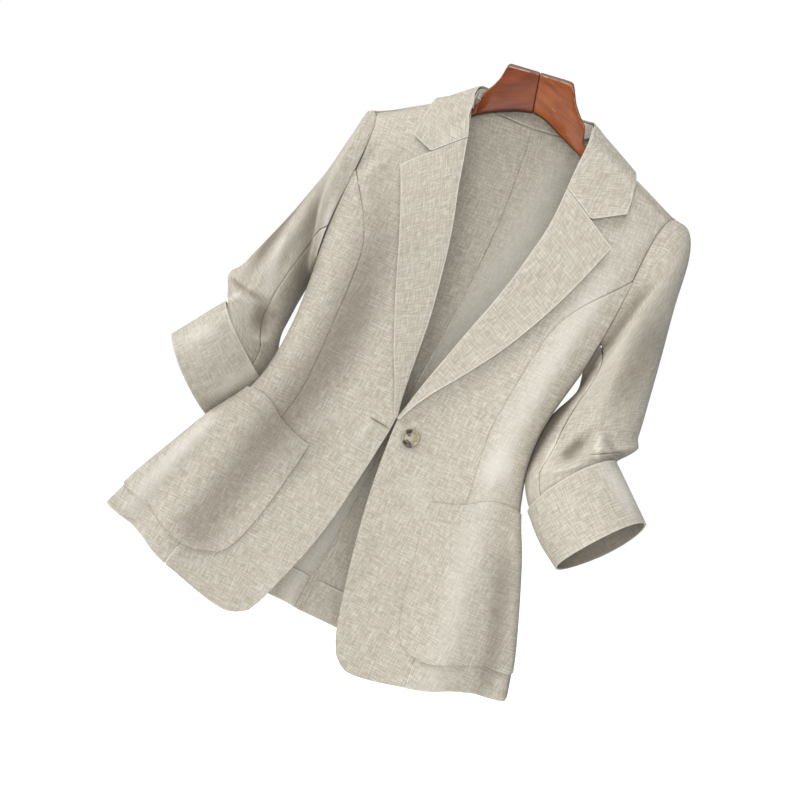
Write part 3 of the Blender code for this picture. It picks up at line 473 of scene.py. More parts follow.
def princess_foot(side):
    """The height at which the princess seam reaches the hem."""
    return hem(princess(side, np.array(PRINCESS_FOOT))[0])


def climb(v, low, middle, high):
    late = np.clip((v - SEAM_SHARE) / (1 - SEAM_SHARE), 0, 1)
    return np.where(v < SEAM_SHARE, mix(low, middle, v / SEAM_SHARE), mix(middle, high, 1 - (1 - late) ** 2))


def hem(turn):
    return smooth(HEM, np.abs(turn))


def patch(low, high, foot, head):
    """A Coons patch between four edges, each from an array of 0..1 to (turn, height)."""

    def ends(edge):
        turn, height = edge(np.array([0.0, 1.0]))
        return np.stack(np.broadcast_arrays(turn, height))

    def flat(edge, at):
        return np.stack(np.broadcast_arrays(*edge(at)))

    lows, highs, feet, heads = (ends(edge) for edge in (low, high, foot, head))

    def met(edge, own, row, u):
        start_off, stop_off = lows[:, row] - own[:, 0], highs[:, row] - own[:, 1]
        return flat(edge, u) + start_off[:, None] * (1 - u) ** 3 + stop_off[:, None] * u**3

    def place(u, v):
        across = mix(flat(low, v), flat(high, v), u)
        upward = mix(met(foot, feet, 0, u), met(head, heads, 1, u), v)
        corners = mix(mix(lows[:, :1], highs[:, :1], u), mix(lows[:, 1:], highs[:, 1:], u), v)
        return across + upward - corners

    return place


# A crease, in millimetres: its route in (x, z), how far it spreads to the left and right of that, how far it
# stands out (or in, below zero), and how much of it is left at its first and last point, as a share.
# A crease that stands in is also darkened with painted shade, and one that stands out lightened with a
# painted highlight.
CREASE_FADE = 0.35  # of its length, over which it fades


def pressed(points, creases):
    """How far the creases push each point out of the cloth."""
    x, z = points[..., 0], points[..., 2]
    height = np.zeros(x.shape)
    for route, spread_left, spread_right, rise, ends in creases:
        nearest, to_left, share = np.full(x.shape, 9.0), np.ones(x.shape, bool), np.zeros(x.shape)
        route = np.array(route) * 0.001
        steps = np.linalg.norm(np.diff(route, axis=0), axis=1)
        for k, ((ax, az), (bx, bz)) in enumerate(zip(route, route[1:])):
            dx, dz = bx - ax, bz - az
            t = np.clip(((x - ax) * dx + (z - az) * dz) / steps[k] ** 2, 0, 1)
            gap = np.hypot(x - ax - t * dx, z - az - t * dz)
            closer = gap < nearest
            nearest = np.where(closer, gap, nearest)
            to_left = np.where(closer, dx * (z - az) - dz * (x - ax) > 0, to_left)
            share = np.where(closer, (steps[:k].sum() + t * steps[k]) / steps.sum(), share)
        spread = np.where(to_left, spread_left, spread_right) * 0.001
        fade = mix(ends[0], 1, ease(share / CREASE_FADE)) * mix(ends[1], 1, ease((1 - share) / CREASE_FADE))
        height += rise * 0.001 * ease(1 - nearest / spread) * fade
    return height


def spaced(length, cell, lines=()):
    """Places from 0 to 1 along a length: close together at both ends and at the stitched lines."""
    close = np.array((0.0, 0.0007, 0.0016, 0.0032))
    inner = np.linspace(close[-1], length - close[-1], max(3, round(length / cell)))
    for line in lines:
        inner = inner[np.abs(inner - line) > 0.0026]
        inner = np.concatenate((inner, line + np.array((-0.0021, -0.0011, 0.0, 0.0011, 0.0021))))
    places = np.concatenate((close[:-1], np.sort(inner), length - close[-2::-1]))
    return places / length


def walk(points, axis):
    """Distance walked along the grid's columns (axis 0) or rows (axis 1)."""
    steps = np.cumsum(np.linalg.norm(np.diff(points, axis=axis), axis=-1), axis=axis)
    return np.insert(steps, 0, 0.0, axis=axis)


SEAM_MEET = 0.0003  # how far the cloth goes on at a seam, to meet its neighbour
SEAM_DIP, SEAM_ROLL = 0.0007, 0.0010  # how deep the cloth dips into a seam, and over what width it dips and is darkened with painted shade
EDGE_ROLL = 0.0012  # how wide the painted highlight along a pressed free edge is
ALLOWANCE, ALLOWANCE_STEP, ALLOWANCE_ROLL = 0.013, 0.0004, 0.0015  # the ridge of a seam pressed open inside
STITCH_DIP, STITCH_ROLL, STITCH_SHADE = 0.0004, 0.0009, 0.6
CLOTH_WALL = 0.0012
SHOULDER_MIDDLE, SHOULDER_REACH, SHOULDER_ROLL, SHOULDER_RISE = 0.021, 0.064, 0.014, 0.0010
TROUGH_DEPTH, CREST_HEIGHT = 0.0080, 0.0045  # where a crease's painted shade is full, and where its painted highlight is full
RIM_WIDTH, RIM_ANGLE = 0.0004, math.radians(50)
LEAST_AREA = 0.31  # of its flat sheet, for a piece that is cut to a curve
TOWARDS_CAMERA = np.array(back)
# The axis along which each edge of the grid is met, its end and the place before that.
GRID_ENDS = {"l": (1, 0, 1), "r": (1, -1, -2), "f": (0, 0, 1), "h": (0, -1, -2)}
GRAIN_SHIFT = 0.37  # so that no two pieces show the same threads
cloths_laid = []


def grid_mesh(wide, high):
    """A mesh of wide by high points, with the column and the row of each of its vertices."""
    mesh = bmesh.new()
    bmesh.ops.create_grid(mesh, x_segments=wide - 1, y_segments=high - 1, size=0.5)
    share = np.array([vert.co.xy for vert in mesh.verts]) + 0.5
    return mesh, *np.rint(share * (wide - 1, high - 1)).astype(int).T


def move(mesh, points):
    for vert, point in zip(mesh.verts, points):
        vert.co = point


def mark(mesh, **marks):
    """Values kept on the mesh's points, under the name that a material asks for."""
    layers = {name: mesh.verts.layers.float.new(name) for name in marks}
    mesh.verts.index_update()
    for name, values in marks.items():
        for vert in mesh.verts:
            vert[layers[name]] = values[vert.index]


def lay_grain(mesh, grain):
    """The weave's or the wood's own lengths at each vertex, as the UV map."""
    layer = mesh.loops.layers.uv.new("grain")
    mesh.verts.index_update()
    for face in mesh.faces:
        for loop in face.loops:
            loop[layer].uv = grain[loop.vert.index]


def put(name, mesh, materials, replaced=()):
    """A finished piece of the blazer, on its one body."""
    data = bpy.data.meshes.new(name)
    mesh.to_mesh(data)
    mesh.free()
    data.shade_smooth()
    piece = bpy.data.objects.new(name, data)
    bpy.context.scene.collection.objects.link(piece)
    for material in materials:
        data.materials.append(material)
    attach(piece, "root")
    if replaced:
        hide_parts(replaced)
    return piece


def lay_cloth(
    name, place, size, way, held="hung", rests_on=(), cell=0.0036, wall=CLOTH_WALL, front=(), rear=(),
    sewn="", stitched=(), on_body=False, lift=0.0, closed=False, wrong_side=None
):
    """A piece of cloth whose outer face is a grid laid at place(u, v), dented by its creases and seams.

    size is about its width and length. sewn names the grid's edges that run into a seam, out of l, r,
    f and h; a doubled letter adds a seam allowance pressed open inside. stitched holds the distances
    from the head at which it is stitched through. closed joins the two long edges. On the body, place
    gives turn and height, and the warp hangs plumb; other pieces have it along their columns."""
    width, length = size
    across = np.linspace(0, 1, round(width / cell)) if closed else spaced(width, cell)
    upward = spaced(length, cell, [length - line for line in stitched])
    mesh, column, row = grid_mesh(len(across), len(upward))
    u, v = (grid.ravel() for grid in np.meshgrid(across, upward))
    placed = place(u, v)
    shape = (len(upward), len(across), 3)
    points = hang(body_point(*placed, lift) if on_body else placed).reshape(shape)

    from_left, from_foot = walk(points, 1), walk(points, 0)
    from_right, from_head = from_left[:, -1:] - from_left, from_foot[-1:] - from_foot
    from_edge = {"l": from_left, "r": from_right, "f": from_foot, "h": from_head}
    if closed:
        del from_edge["l"], from_edge["r"]
    if on_body and "h" in sewn:  # at the shoulder seam the front and the back come together over the hanger
        off_neck = ease((np.abs(points[..., 0] - SHOULDER_MIDDLE) - SHOULDER_REACH) / SHOULDER_ROLL)
        near = ease(1 - from_edge["h"] / SHOULDER_ROLL) * off_neck
        points[..., 1] *= 1 - near
        points[..., 2] += SHOULDER_RISE * near
    normal = unit(np.cross(np.gradient(points, axis=1), np.gradient(points, axis=0))) * way
    facing = -normal[..., 1]
    from_front, from_behind = pressed(points, front), pressed(points, rear)
    ahead, behind = from_front * ease(0.5 + facing * 2), from_behind * ease(0.5 - facing * 2)
    rise = np.zeros(from_left.shape)
    # the painted shade in crease troughs and the painted highlight on crease crests, kept as the mark
    # 'trough'
    tone = from_front * ease(0.95 + facing * 2) + behind
    trough = ease(-tone / TROUGH_DEPTH) - ease(tone / CREST_HEIGHT)
    # the mark 'edge': a painted highlight along free edges, painted shade along seams and stitched lines
    edge = np.zeros(from_left.shape)
    for side_of_grid, gap in from_edge.items():
        if side_of_grid in sewn:
            rise -= SEAM_DIP * np.exp(-((gap / SEAM_ROLL) ** 2))
            edge = np.minimum(edge, -np.exp(-((gap / SEAM_ROLL) ** 2)))
        else:
            edge = np.maximum(edge, np.exp(-((gap / EDGE_ROLL) ** 2)))
        if side_of_grid + side_of_grid in sewn:
            rise -= ALLOWANCE_STEP * ease((ALLOWANCE - gap) / ALLOWANCE_ROLL)
    for line in stitched:
        dent = np.exp(-(((from_edge["h"] - line) / STITCH_ROLL) ** 2))
        rise -= STITCH_DIP * dent
        edge = np.minimum(edge, -STITCH_SHADE * dent)
    points = points + normal * rise[..., None]
    points = points + TOWARDS_CAMERA * ahead[..., None]  # which leaves the outline as it is
    points[..., 1] += behind
    for side_of_grid, gap in from_edge.items():
        if side_of_grid in sewn:
            axis, end, next_end = GRID_ENDS[side_of_grid]
            rim, next_in = np.take(points, end, axis), np.take(points, next_end, axis)
            met = rim + unit(rim - next_in) * SEAM_MEET
            if axis:
                points[:, end] = met
            else:
                points[end] = met

    move(mesh, points[row, column])
    if on_body:
        grain = np.stack((girth(*placed), placed[1]), axis=-1).reshape(*shape[:2], 2)
    else:
        middle = len(across) // 2
        along = np.broadcast_to(from_foot[:, middle : middle + 1], from_left.shape)
        grain = np.stack((from_left - from_left[:, middle : middle + 1], along), axis=-1)
    cloths_laid.append(name)
    lay_grain(mesh, grain[row, column] + GRAIN_SHIFT * len(cloths_laid))
    mark(mesh, edge=edge[row, column], trough=trough[row, column])
    if way < 0:
        bmesh.ops.reverse_faces(mesh, faces=mesh.faces)
    area = sum(face.calc_area() for face in mesh.faces)
    if closed:
        bmesh.ops.remove_doubles(mesh, verts=mesh.verts, dist=0.0001)
    piece = put(name + "_cloth", mesh, [linen, wrong_side] if wrong_side else [linen], name)
    thick = piece.modifiers.new("wall", "SOLIDIFY")
    thick.thickness, thick.offset, thick.use_even_offset = wall, -1.0, False
    # the shell's other face takes wrong_side, which for the cuffs is linen darkened with painted shade
    thick.material_offset = 1 if wrong_side else 0
    rim = piece.modifiers.new("rim", "BEVEL")
    rim.width, rim.segments, rim.limit_method, rim.angle_limit = RIM_WIDTH, 2, "ANGLE", RIM_ANGLE
    widest, longest = float(from_left[:, -1].max()), float(from_foot[-1].max())
    area = min(max(area, LEAST_AREA * widest * longest), widest * longest)


def front_place(side):
    outer_foot = princess_foot(side)
    corner = front_line(FRONT_EDGE, side, np.array(FRONT_EDGE[0][0]))[0]

    def inner(v):
        neck = shoulder_height(NECK_HALF)
        return front_line(FRONT_EDGE, side, climb(v, FRONT_EDGE[0][0], FRONT_MIDDLE, neck))

    def outer(v):
        height = climb(v, outer_foot, PRINCESS_TOP, SHOULDER_TOP)
        seam, hole = princess(side, height, SEAM_GAP / 2), armhole(side, armhole_angle(height))
        low = height < PRINCESS_TOP
        return np.where(low, seam[0], hole[0]), np.where(low, seam[1], hole[1])

    start = outer(np.array([0.0]))[0][0]

    def foot(u):
        turn = mix(corner, start, u)
        return turn, hem(turn) + CORNER_RISE * np.maximum(1 - u / CORNER_WIDTH, 0.0) ** 2

    def head(u):
        half = mix(NECK_HALF, SHOULDER_TIP, u)
        height = shoulder_height(half)
        return turn_at(level(height)[0] + side * half, height), height

    return patch(inner, outer, foot, head)


def side_front_place(side):
    inner_foot = princess_foot(side)
    junction = armhole_angle(np.array(PRINCESS_TOP))
    seam = side * (1 - SIDE_SEAM_TURN)

    def inner(v):
        return princess(side, mix(inner_foot, PRINCESS_TOP, v), -SEAM_GAP / 2 - TOP_LAP * ease(v * 8 - 7))

    def outer(v):
        return np.full_like(v, seam), mix(hem(np.array(1.0)), ARM_MIDDLE - ARM_HALF, v)

    start = inner(np.array([0.0]))[0][0]

    def foot(u):
        turn = mix(start, seam, u)
        return turn, hem(turn)

    def head(u):
        turn, height = armhole(side, mix(junction, math.pi, u**0.8))
        return side * np.minimum(np.abs(turn), 1 - SIDE_SEAM_TURN), height

    return patch(inner, outer, foot, head)


def back_patch(side):
    neck_point = shoulder_height(NECK_HALF)

    def inner(v):
        height = climb(v, hem(np.array(2.0)), BACK_MIDDLE, BACK_NECK)
        return turn_at(level(height)[5] + side * SEAM_GAP / 2, height, True), height

    def outer(v):
        height = climb(v, hem(np.array(1.0)), ARM_MIDDLE - ARM_HALF, SHOULDER_TOP)
        turn, hole_height = armhole(side, armhole_angle(height), True)
        low = height < ARM_MIDDLE - ARM_HALF
        turn = np.where(low, 1 + SIDE_SEAM_TURN, np.maximum(np.abs(turn), 1 + SIDE_SEAM_TURN))
        return side * turn, np.where(low, height, hole_height)

    first, last = inner(np.array([0.0]))[0][0], outer(np.array([0.0]))[0][0]

    def foot(u):
        turn = mix(first, last, u)
        return turn, hem(turn)

    def head(u):
        to_neck = u / NECK_SHARE
        past = mix(NECK_HALF, SHOULDER_TIP, (u - NECK_SHARE) / (1 - NECK_SHARE))
        on_neck = to_neck < 1
        half = np.where(on_neck, NECK_HALF * to_neck, past)
        height = np.where(on_neck, mix(BACK_NECK, neck_point, ease(to_neck) ** 2), shoulder_height(past))
        middle = mix(level(height)[5], level(height)[0], np.minimum(to_neck, 1.0))
        return turn_at(middle + side * np.maximum(half, 0.0002), height, True), height

    spread = patch(inner, outer, foot, head)
    return lambda u, v: spread(1 - (1 - u) ** CROWDED, v)


# Where each route runs, how far it spreads to its left and right looking from its start to its end, how
# far it stands out, and how much of that is left at its two ends.
FRONT_CREASES = {
    "left": (
        (((176, -135), (166, -190), (154, -253), (147, -315), (141, -377), (143, -422)),
         20, 40, 3.2, (0.4, 0.9)),
        (((143, -422), (146, -500), (156, -560), (168, -610), (174, -690)), 30, 36, 2.2, (0.9, 0.8)),
        (((168, -470), (192, -530), (214, -600), (226, -680)), 30, 20, -5, (0.2, 0.7)),
        (((118, -262), (109, -300)), 5, 6, 1, (0, 0)),
        (((50, -455), (78, -495), (105, -525)), 16, 20, 1.6, (0.2, 0)),
        (((40, -520), (52, -575), (45, -640)), 22, 14, -1.8, (0, 0.2)),
        (((100, -560), (108, -640)), 18, 22, -1.4, (0, 0.3)),
        (((83, -250), (98, -215), (120, -190)), 14, 12, 1.3, (0, 0.2)),
    ),
    "right": (
        (((-112, -168), (-84, -250), (-80, -327), (-84, -390), (-102, -460), (-121, -535), (-142, -626)),
         56, 48, -5.6, (0.5, 0.8)),
        (((-142, -212), (-127, -180), (-108, -148)), 10, 10, 2.4, (0.2, 0)),
        (((-146, -190), (-138, -160), (-126, -130)), 8, 10, -2, (0.3, 0)),
        (((-133, -204), (-121, -232)), 5, 5, 1.3, (0.2, 0)),
        (((-40, -440), (-60, -500), (-72, -560)), 24, 30, -2.6, (0, 0.2)),
        (((-8, -418), (-10, -440), (-22, -480)), 6, 16, 1.8, (0.3, 0)),
        (((-172, -480), (-200, -560), (-226, -640)), 20, 24, 3.4, (0.2, 0.8)),
        (((-48, -600), (-40, -650), (-46, -690)), 14, 18, 1.4, (0, 0.4)),
    ),
}
BACK_CREASES = {
    "left": (
        (((110, -160), (128, -250), (118, -370)), 20, 24, 2.4, (0, 0.2)),
        (((70, -395), (105, -408), (140, -398)), 12, 16, -1.8, (0, 0.2)),
        (((60, -90), (52, -180), (36, -270), (20, -360)), 44, 44, 3.4, (0.8, 0.8)),
        (((80, -450), (94, -550), (110, -660)), 22, 18, -2.4, (0, 0.8)),
    ),
    "right": (
        (((-96, -170), (-112, -270), (-104, -350)), 24, 18, 2, (0, 0.1)),
        (((-13, -458), (-4, -515), (-16, -585), (-30, -644), (-29, -677)), 20, 20, 4, (0.6, 0.8)),
        (((-30, -402), (-80, -414), (-128, -400)), 14, 12, -2, (0, 0.3)),
        (((-70, -470), (-100, -560), (-118, -670)), 18, 24, -2.6, (0, 0.8)),
    ),
}
ARMS = ["hanger_left", "hanger_right"]
for side_name, side in SIDES.items():
    folds = {"on_body": True, "front": FRONT_CREASES[side_name], "rear": BACK_CREASES[side_name]}
    front, side_front, spread = front_place(side), side_front_place(side), back_patch(side)
    lay_cloth(f"front_{side_name}", front, (0.15, 0.64), side, rests_on=ARMS, sewn="rh", **folds)
    lay_cloth(f"side_front_{side_name}", side_front, (0.12, 0.45), side, sewn="lr", **folds)
    lay_cloth(f"back_{side_name}", spread, (0.24, 0.62), -side, rests_on=ARMS, sewn="llrh", **folds)

# ---- the back hem, turned up inside
# The back's own lowest rows, folded up inside and hand-stitched. The turned-up strip lies flat against
# the back, from the side seam to the seam at the centre.
HEM_TURN_SHARE = 1.75 / 28  # of the back's length
HEM_TURN_LIFT, HEM_TURN_WALL = -0.0024, 0.0010


def hem_turn_place(side):
    spread = back_patch(side)

    def place(u, v):
        turn, height = spread(0.004 + u * 8 / 9, v * HEM_TURN_SHARE)
        return turn, height + 0.0004

    return place


for side_name, side in SIDES.items():
    lay_cloth(
        f"hem_turn_{side_name}", hem_turn_place(side), (0.22, 0.04), -side, "folded",
        [f"back_{side_name}_cloth"], on_body=True, lift=HEM_TURN_LIFT, wall=HEM_TURN_WALL, sewn="l",
        front=FRONT_CREASES[side_name], rear=BACK_CREASES[side_name],
    )

# ---- the patch pockets
# Cut from the same linen with rounded lower corners, each laid on its front and edge-stitched. The mouth
# is hemmed to the inside and stitched through.
# height, half width of the inner edge from the centre front line
POCKET_EDGE = in_metres(
    (
        (-642.5, 117), (-632, 108.5), (-615, 101.5), (-590, 94.5), (-550, 86.5), (-505, 78.5), (-487, 77),
    ),
)
# turn, height
POCKET_FOOT = in_metres(
    (
        (0.255, -642.5), (0.3, -649.5), (0.34, -650.5), (0.39, -647.5), (0.45, -641), (0.53, -632.5),
        (0.62, -625.5), (0.93, -619),
    ),
    plain=(0,),
)
POCKET_MOUTH = in_metres(
    (
        (0.23, -487), (0.28, -483.5), (0.4, -473), (0.51, -461.5), (0.58, -457), (0.71, -455), (0.93, -459),
    ),
    plain=(0,),
)
POCKET_OUTER_TURN = 0.93
POCKET_LIFT = 0.0030


def pocket_place(side):
    def inner(v):
        return front_line(POCKET_EDGE, side, mix(POCKET_EDGE[0][0], POCKET_EDGE[-1][0], v))

    def outer(v):
        return np.full_like(v, side * POCKET_OUTER_TURN), mix(POCKET_FOOT[-1][1], POCKET_MOUTH[-1][1], v)

    first, last = (abs(inner(np.array([end]))[0][0]) for end in (0.0, 1.0))

    def foot(u):
        turn = mix(first, POCKET_OUTER_TURN, u)
        return side * turn, smooth(POCKET_FOOT, turn)

    def head(u):
        turn = mix(last, POCKET_OUTER_TURN, u)
        return side * turn, smooth(POCKET_MOUTH, turn)

    return patch(inner, outer, foot, head)


for side_name, side in SIDES.items():
    lay_cloth(
        f"pocket_{side_name}", pocket_place(side), (0.15, 0.17), side, "laid", [f"front_{side_name}_cloth"],
        on_body=True, lift=POCKET_LIFT, stitched=(0.020,), front=FRONT_CREASES[side_name],
    )

# ---- lapels
# The facings of the fronts, which turn back from the button to the gorge seam. Each lapel lies rolled on
# its chest, pressed but not stitched down.
# height, half width of the outer edge from the centre front line
LAPEL_EDGE = in_metres(
    (
        (-420, 3), (-405, 9), (-380, 21.5), (-350, 39), (-300, 64.5), (-250, 86.5), (-200, 107.5),
        (-160, 124),
    ),
)
BREAK = -0.419  # height where the lapel starts to turn back
GORGE_TOP = {1: -0.118, -1: -0.102}  # height of each gorge seam on the roll line
LAPEL_TIP = -0.160
LAPEL_WIDER = {1: 0.0040, -1: 0.0005}  # each lapel hangs open by its own amount
LAPEL_LIFT = (0.0022, 0.0062)  # clear of the front at the roll, and at the outer edge
LAPEL_BELLY, BELLY_HALF = -0.280, 0.13  # height where it hangs open most, and how far that reaches
OFF_FRONT = 0.0016  # the lapel's own wall, and a little air
ROLL_LAP, ROLL_TUCK = 0.0012, 0.00096  # how far it laps the front at the roll, and dips into it


def lapel_point(side, u, v):
    roll_height, edge_height = mix(BREAK, GORGE_TOP[side], v), mix(BREAK, LAPEL_TIP, v)
    roll_x = front_x(roll_height) + side * (smooth(FRONT_EDGE, roll_height) - ROLL_LAP)
    wider = LAPEL_WIDER[side] * bump(edge_height - LAPEL_BELLY, BELLY_HALF)
    edge_x = front_x(edge_height) + side * (smooth(LAPEL_EDGE, edge_height) + wider)
    x, height = mix(roll_x, edge_x, u), mix(roll_height, edge_height, u)
    lift = mix(*LAPEL_LIFT, u) * ease(np.minimum(v * 12 + 0.35, 1.0)) - ROLL_TUCK * (1 - ease(u * 8))
    return np.stack((x, body_depth(x, height) - OFF_FRONT - lift, height), axis=-1)


for side_name, side in SIDES.items():
    lay_cloth(
        f"lapel_{side_name}", lambda u, v, side=side: lapel_point(side, u, v), (0.08, 0.30), side, "folded",
        [f"front_{side_name}_cloth"], cell=0.003,
    )

# ---- the collar and its stand
# The collar's fall, of two layers of linen, turns down from a fold round the neck. Its stand is sewn
# between it and the neckline, and its ends to the lapels.


def evenly(rows):
    """A table in millimetres, with each row's place from 0 to 1 put in front of it."""
    return tuple((i / (len(rows) - 1), *row) for i, row in enumerate(in_metres(rows)))


# fold half x, fold y, fold z, edge half x, edge y, edge z, fold middle x, edge middle x
COLLAR_ROWS = evenly(
    (
        (0, 33, -24, 0, 40, -76, 10, 16), (35, 29, -25.5, 48, 38.5, -78.5, 10, 17),
        (57, 18, -29, 90, 29, -78, 10, 18), (67.5, 4.5, -33.5, 113, 8, -67.5, 10, 21),
        (69.5, -9, -47, 118, -13, -74, 12, 24), (68.5, -20, -65, 120, -24, -90, 15, 26),
        (65.5, -30, -86, 123, -31, -107, 18, 28), (62.5, -38, -109, 125, -36, -122, 21.5, 29.5),
    ),
)
COLLAR_NOTCH = 0.5  # how far along the collar's end the gorge seam runs, to the notch
LAPEL_NOTCH = 0.54  # how far along the lapel's top edge it runs
COLLAR_ROLL = 0.0028  # how far the collar bellies out between its fold and its edge
FOLD_SWELL, FOLD_RISE = 0.0022, 0.0016  # how far the fall stands off the stand, and tops it
COLLAR_CLEAR = 0.0046  # off the body
COLLAR_END = 0.78  # where its end begins to join the lapel
# Nearer the middle than NECK_CLEAR it isn't moved. The rest moves up, or out where the body is STEEP.
NECK_CLEAR, STEEP = 0.05, 0.7
# place along the collar, half width and height of its seam, how far up to the fold it reaches
STAND = in_metres(
    (
        (0, 0, -52, 0.92), (0.15, 30, -51.5, 0.92), (0.3, 56, -50, 0.92), (0.42, 69, -47.5, 0.9),
        (0.52, 70, -53, 0.85), (0.62, 69, -64, 0.7),
    ),
    plain=(0, 3),
)
STAND_SHOULDER, CROSSING = 0.42, 0.06  # where it crosses from the back to the front, give or take
STAND_LAP = 0.06  # how much of it laps the neckline
STAND_INSIDE = (-0.0004, 0.0024)  # of the body, at the back and at the front


def collar_lines(g):
    """The fold and the edge of the collar at g, from -1 at the wearer's right end to 1 at the left."""
    along, side = np.abs(g), np.where(g < 0, -1.0, 1.0)
    row = [smooth(COLLAR_ROWS, along, column) for column in range(1, 9)]
    fold = np.stack((row[6] + side * row[0], row[1], row[2]), axis=-1)
    edge = np.stack((row[7] + side * row[3], row[4], row[5]), axis=-1)
    return fold, edge


def neck_outward(g):
    along = collar_lines(np.minimum(g + 0.02, 1))[0] - collar_lines(np.maximum(g - 0.02, -1))[0]
    return unit(np.stack((-along[..., 1], along[..., 0], np.zeros_like(g)), axis=-1))


def clear_of_body(points, lift):
    """Moved up off the shoulder, or out from the front or back, where nearer to it than lift."""
    x, y, z = (points[..., k] for k in range(3))
    half = np.abs(x - level(z)[0])
    behind = y > 0
    from_shoulder = shoulder_height(half) - SHOULDER_FALL
    full = np.abs(np.where(behind, body_depth(x, from_shoulder, True), body_depth(x, from_shoulder)))
    share = np.minimum(np.abs(y) / full, 0.999)
    surface = from_shoulder + SHOULDER_FALL * np.sqrt(1 - share**2)
    off_neck = half >= NECK_CLEAR
    cleared = points.copy()
    cleared[..., 2] = np.where(off_neck & (share < STEEP), np.maximum(z, surface + lift), z)
    depth = np.where(behind, body_depth(x, z, True), body_depth(x, z))
    outer = np.where(behind, np.maximum(y, depth + lift), np.minimum(y, depth - lift))
    cleared[..., 1] = np.where(off_neck & (share >= STEEP) & (under_shoulder(x, z) > 0), outer, y)
    return cleared


def collar_place(u, v):
    g = 2 * u - 1
    side = np.where(g < 0, -1, 1)
    fold, edge = collar_lines(g)
    near_end = ease((np.abs(g) - COLLAR_END) / (1 - COLLAR_END))[..., None]
    v = v[..., None]
    points = mix(fold, edge, v)
    points += neck_outward(g) * (COLLAR_ROLL * 4 * v * (1 - v) + FOLD_SWELL * ease(v * 6)) * (1 - near_end)
    points[..., 2:] += FOLD_RISE * (1 - ease(v * 4)) * (1 - near_end)
    points = clear_of_body(points, COLLAR_CLEAR)
    for one_side in (-1, 1):
        fold_end, edge_end = (line[0] for line in collar_lines(np.array([float(one_side)])))
        tip = edge_end.copy()
        tip[1] = body_depth(tip[0], tip[2]) - OFF_FRONT - LAPEL_LIFT[1]
        notch = lapel_point(one_side, np.array(LAPEL_NOTCH), np.array(1.0))
        at = v[..., 0]
        end = lapel_point(one_side, LAPEL_NOTCH * at / COLLAR_NOTCH, np.ones_like(at))
        past = (v - COLLAR_NOTCH) / (1 - COLLAR_NOTCH)
        end = np.where(v > COLLAR_NOTCH, mix(notch, tip, past), end)
        start = clear_of_body(mix(fold_end, edge_end, v), COLLAR_CLEAR)
        moved = points + (end + np.array((0, 0, SEAM_GAP)) - start) * near_end
        points = np.where((side == one_side)[..., None], moved, points)
    return points


def stand_place(u, v):
    g, v = (2 * u - 1) * STAND[-1][0], v * (1 + STAND_LAP) - STAND_LAP
    side = np.where(g < 0, -1, 1)
    half, height, top = (smooth(STAND, np.abs(g), column) for column in (1, 2, 3))
    x = level(height)[0] + side * half
    inside = mix(*STAND_INSIDE, ease((np.abs(g) - STAND_SHOULDER + CROSSING) / (2 * CROSSING)))
    depth = np.where(np.abs(g) < STAND_SHOULDER, body_depth(x, height, True), body_depth(x, height))
    seam = np.stack((x, depth + inside, height), axis=-1)
    return mix(seam, collar_lines(g)[0], (top * v)[..., None])


lay_cloth("collar", collar_place, (0.42, 0.06), -1, "folded", ["collar_stand_cloth"], cell=0.003)
lay_cloth("collar_stand", stand_place, (0.24, 0.028), -1, "stretched", ["back_left_cloth"], cell=0.003)

# ---- sleeves and cuffs
# Two-piece sleeves, a top sleeve and a narrower under sleeve, eased into the armhole, bent at the elbow
# and gathered a little above a cuff that is turned up double.
# outer x and z, inner x and z, middle y, half depth
SLEEVE_ROWS = evenly(
    (
        (188, -103, 162, -290, 0, 43), (201, -108, 165, -296, 3, 47), (209, -135, 168, -303, 6, 50),
        (215, -185, 170, -315, 8, 52), (226, -235, 171, -330, 9, 53), (238, -285, 171, -350, 9, 52),
        (248, -325, 170, -375, 7, 49), (252, -350, 169, -400, -1, 45), (244, -359, 169, -425, -11, 42),
        (236.5, -369.5, 173, -445, -19, 37.2), (244.5, -379.5, 182, -458, -22.5, 36),
    ),
)
# Each cuff hangs in its own way: same columns.
CUFF_ROWS = {
    "left": evenly(
        (
            (241.5, -367.5, 170, -450.5, -19, 43.5), (265, -392.5, 192.5, -475, -19, 43.5),
            (289.5, -419, 220.3, -496, -19, 43),
        ),
    ),
    "right": evenly(
        (
            (235.8, -368.8, 170, -450.5, -19, 43.5), (257.5, -396, 190.5, -480.5, -19, 43.5),
            (280, -423, 215.4, -509, -19, 43),
        ),
    ),
}
CUFF_LENGTH, CUFF_WALL = 0.072, 0.0022
FORWARD = {"left": math.radians(18), "right": math.radians(11)}  # how far each forearm comes forward
ELBOW = (0.205, -0.370)
SWING = {"left": math.radians(6), "right": math.radians(-6)}
DROP = {"left": 0.0, "right": -0.006}  # and hangs lower by this much
TUCK = {"left": 0.0, "right": 0.058}  # its inner side tucked back behind the body by this much
CLEAR = {"left": 0.0, "right": 0.007}  # and moved out
# How far each upper arm's outer side stands off: place along the sleeve, metres.
SPREAD = {
    "left": in_metres(((0, 0), (0.1, 1), (0.35, 5), (0.7, 0), (1.0, 0)), plain=(0,)),
    "right": in_metres(
        (
            (0, 0), (0.08, -6), (0.18, -16), (0.28, -14), (0.5, -7), (0.72, -4), (1.0, -4),
        ),
        plain=(0,),
    ),
}
# How far each inner side comes in towards the body.
CLOSE = {
    "left": in_metres(
        (
            (0, 0), (0.2, 0), (0.28, 1.8), (0.36, 6.4), (0.44, 12.4), (0.52, 16.4), (0.6, 16.4),
            (0.7, 13.8), (0.8, 11.6), (0.86, 7), (0.91, 3), (0.95, 0), (1.0, 0),
        ),
        plain=(0,),
    ),
    "right": in_metres(((0, 0), (1.0, 0)), plain=(0,)),
}
SLEEVE_SEAM, SLEEVE_GAP = 0.012, 0.0010
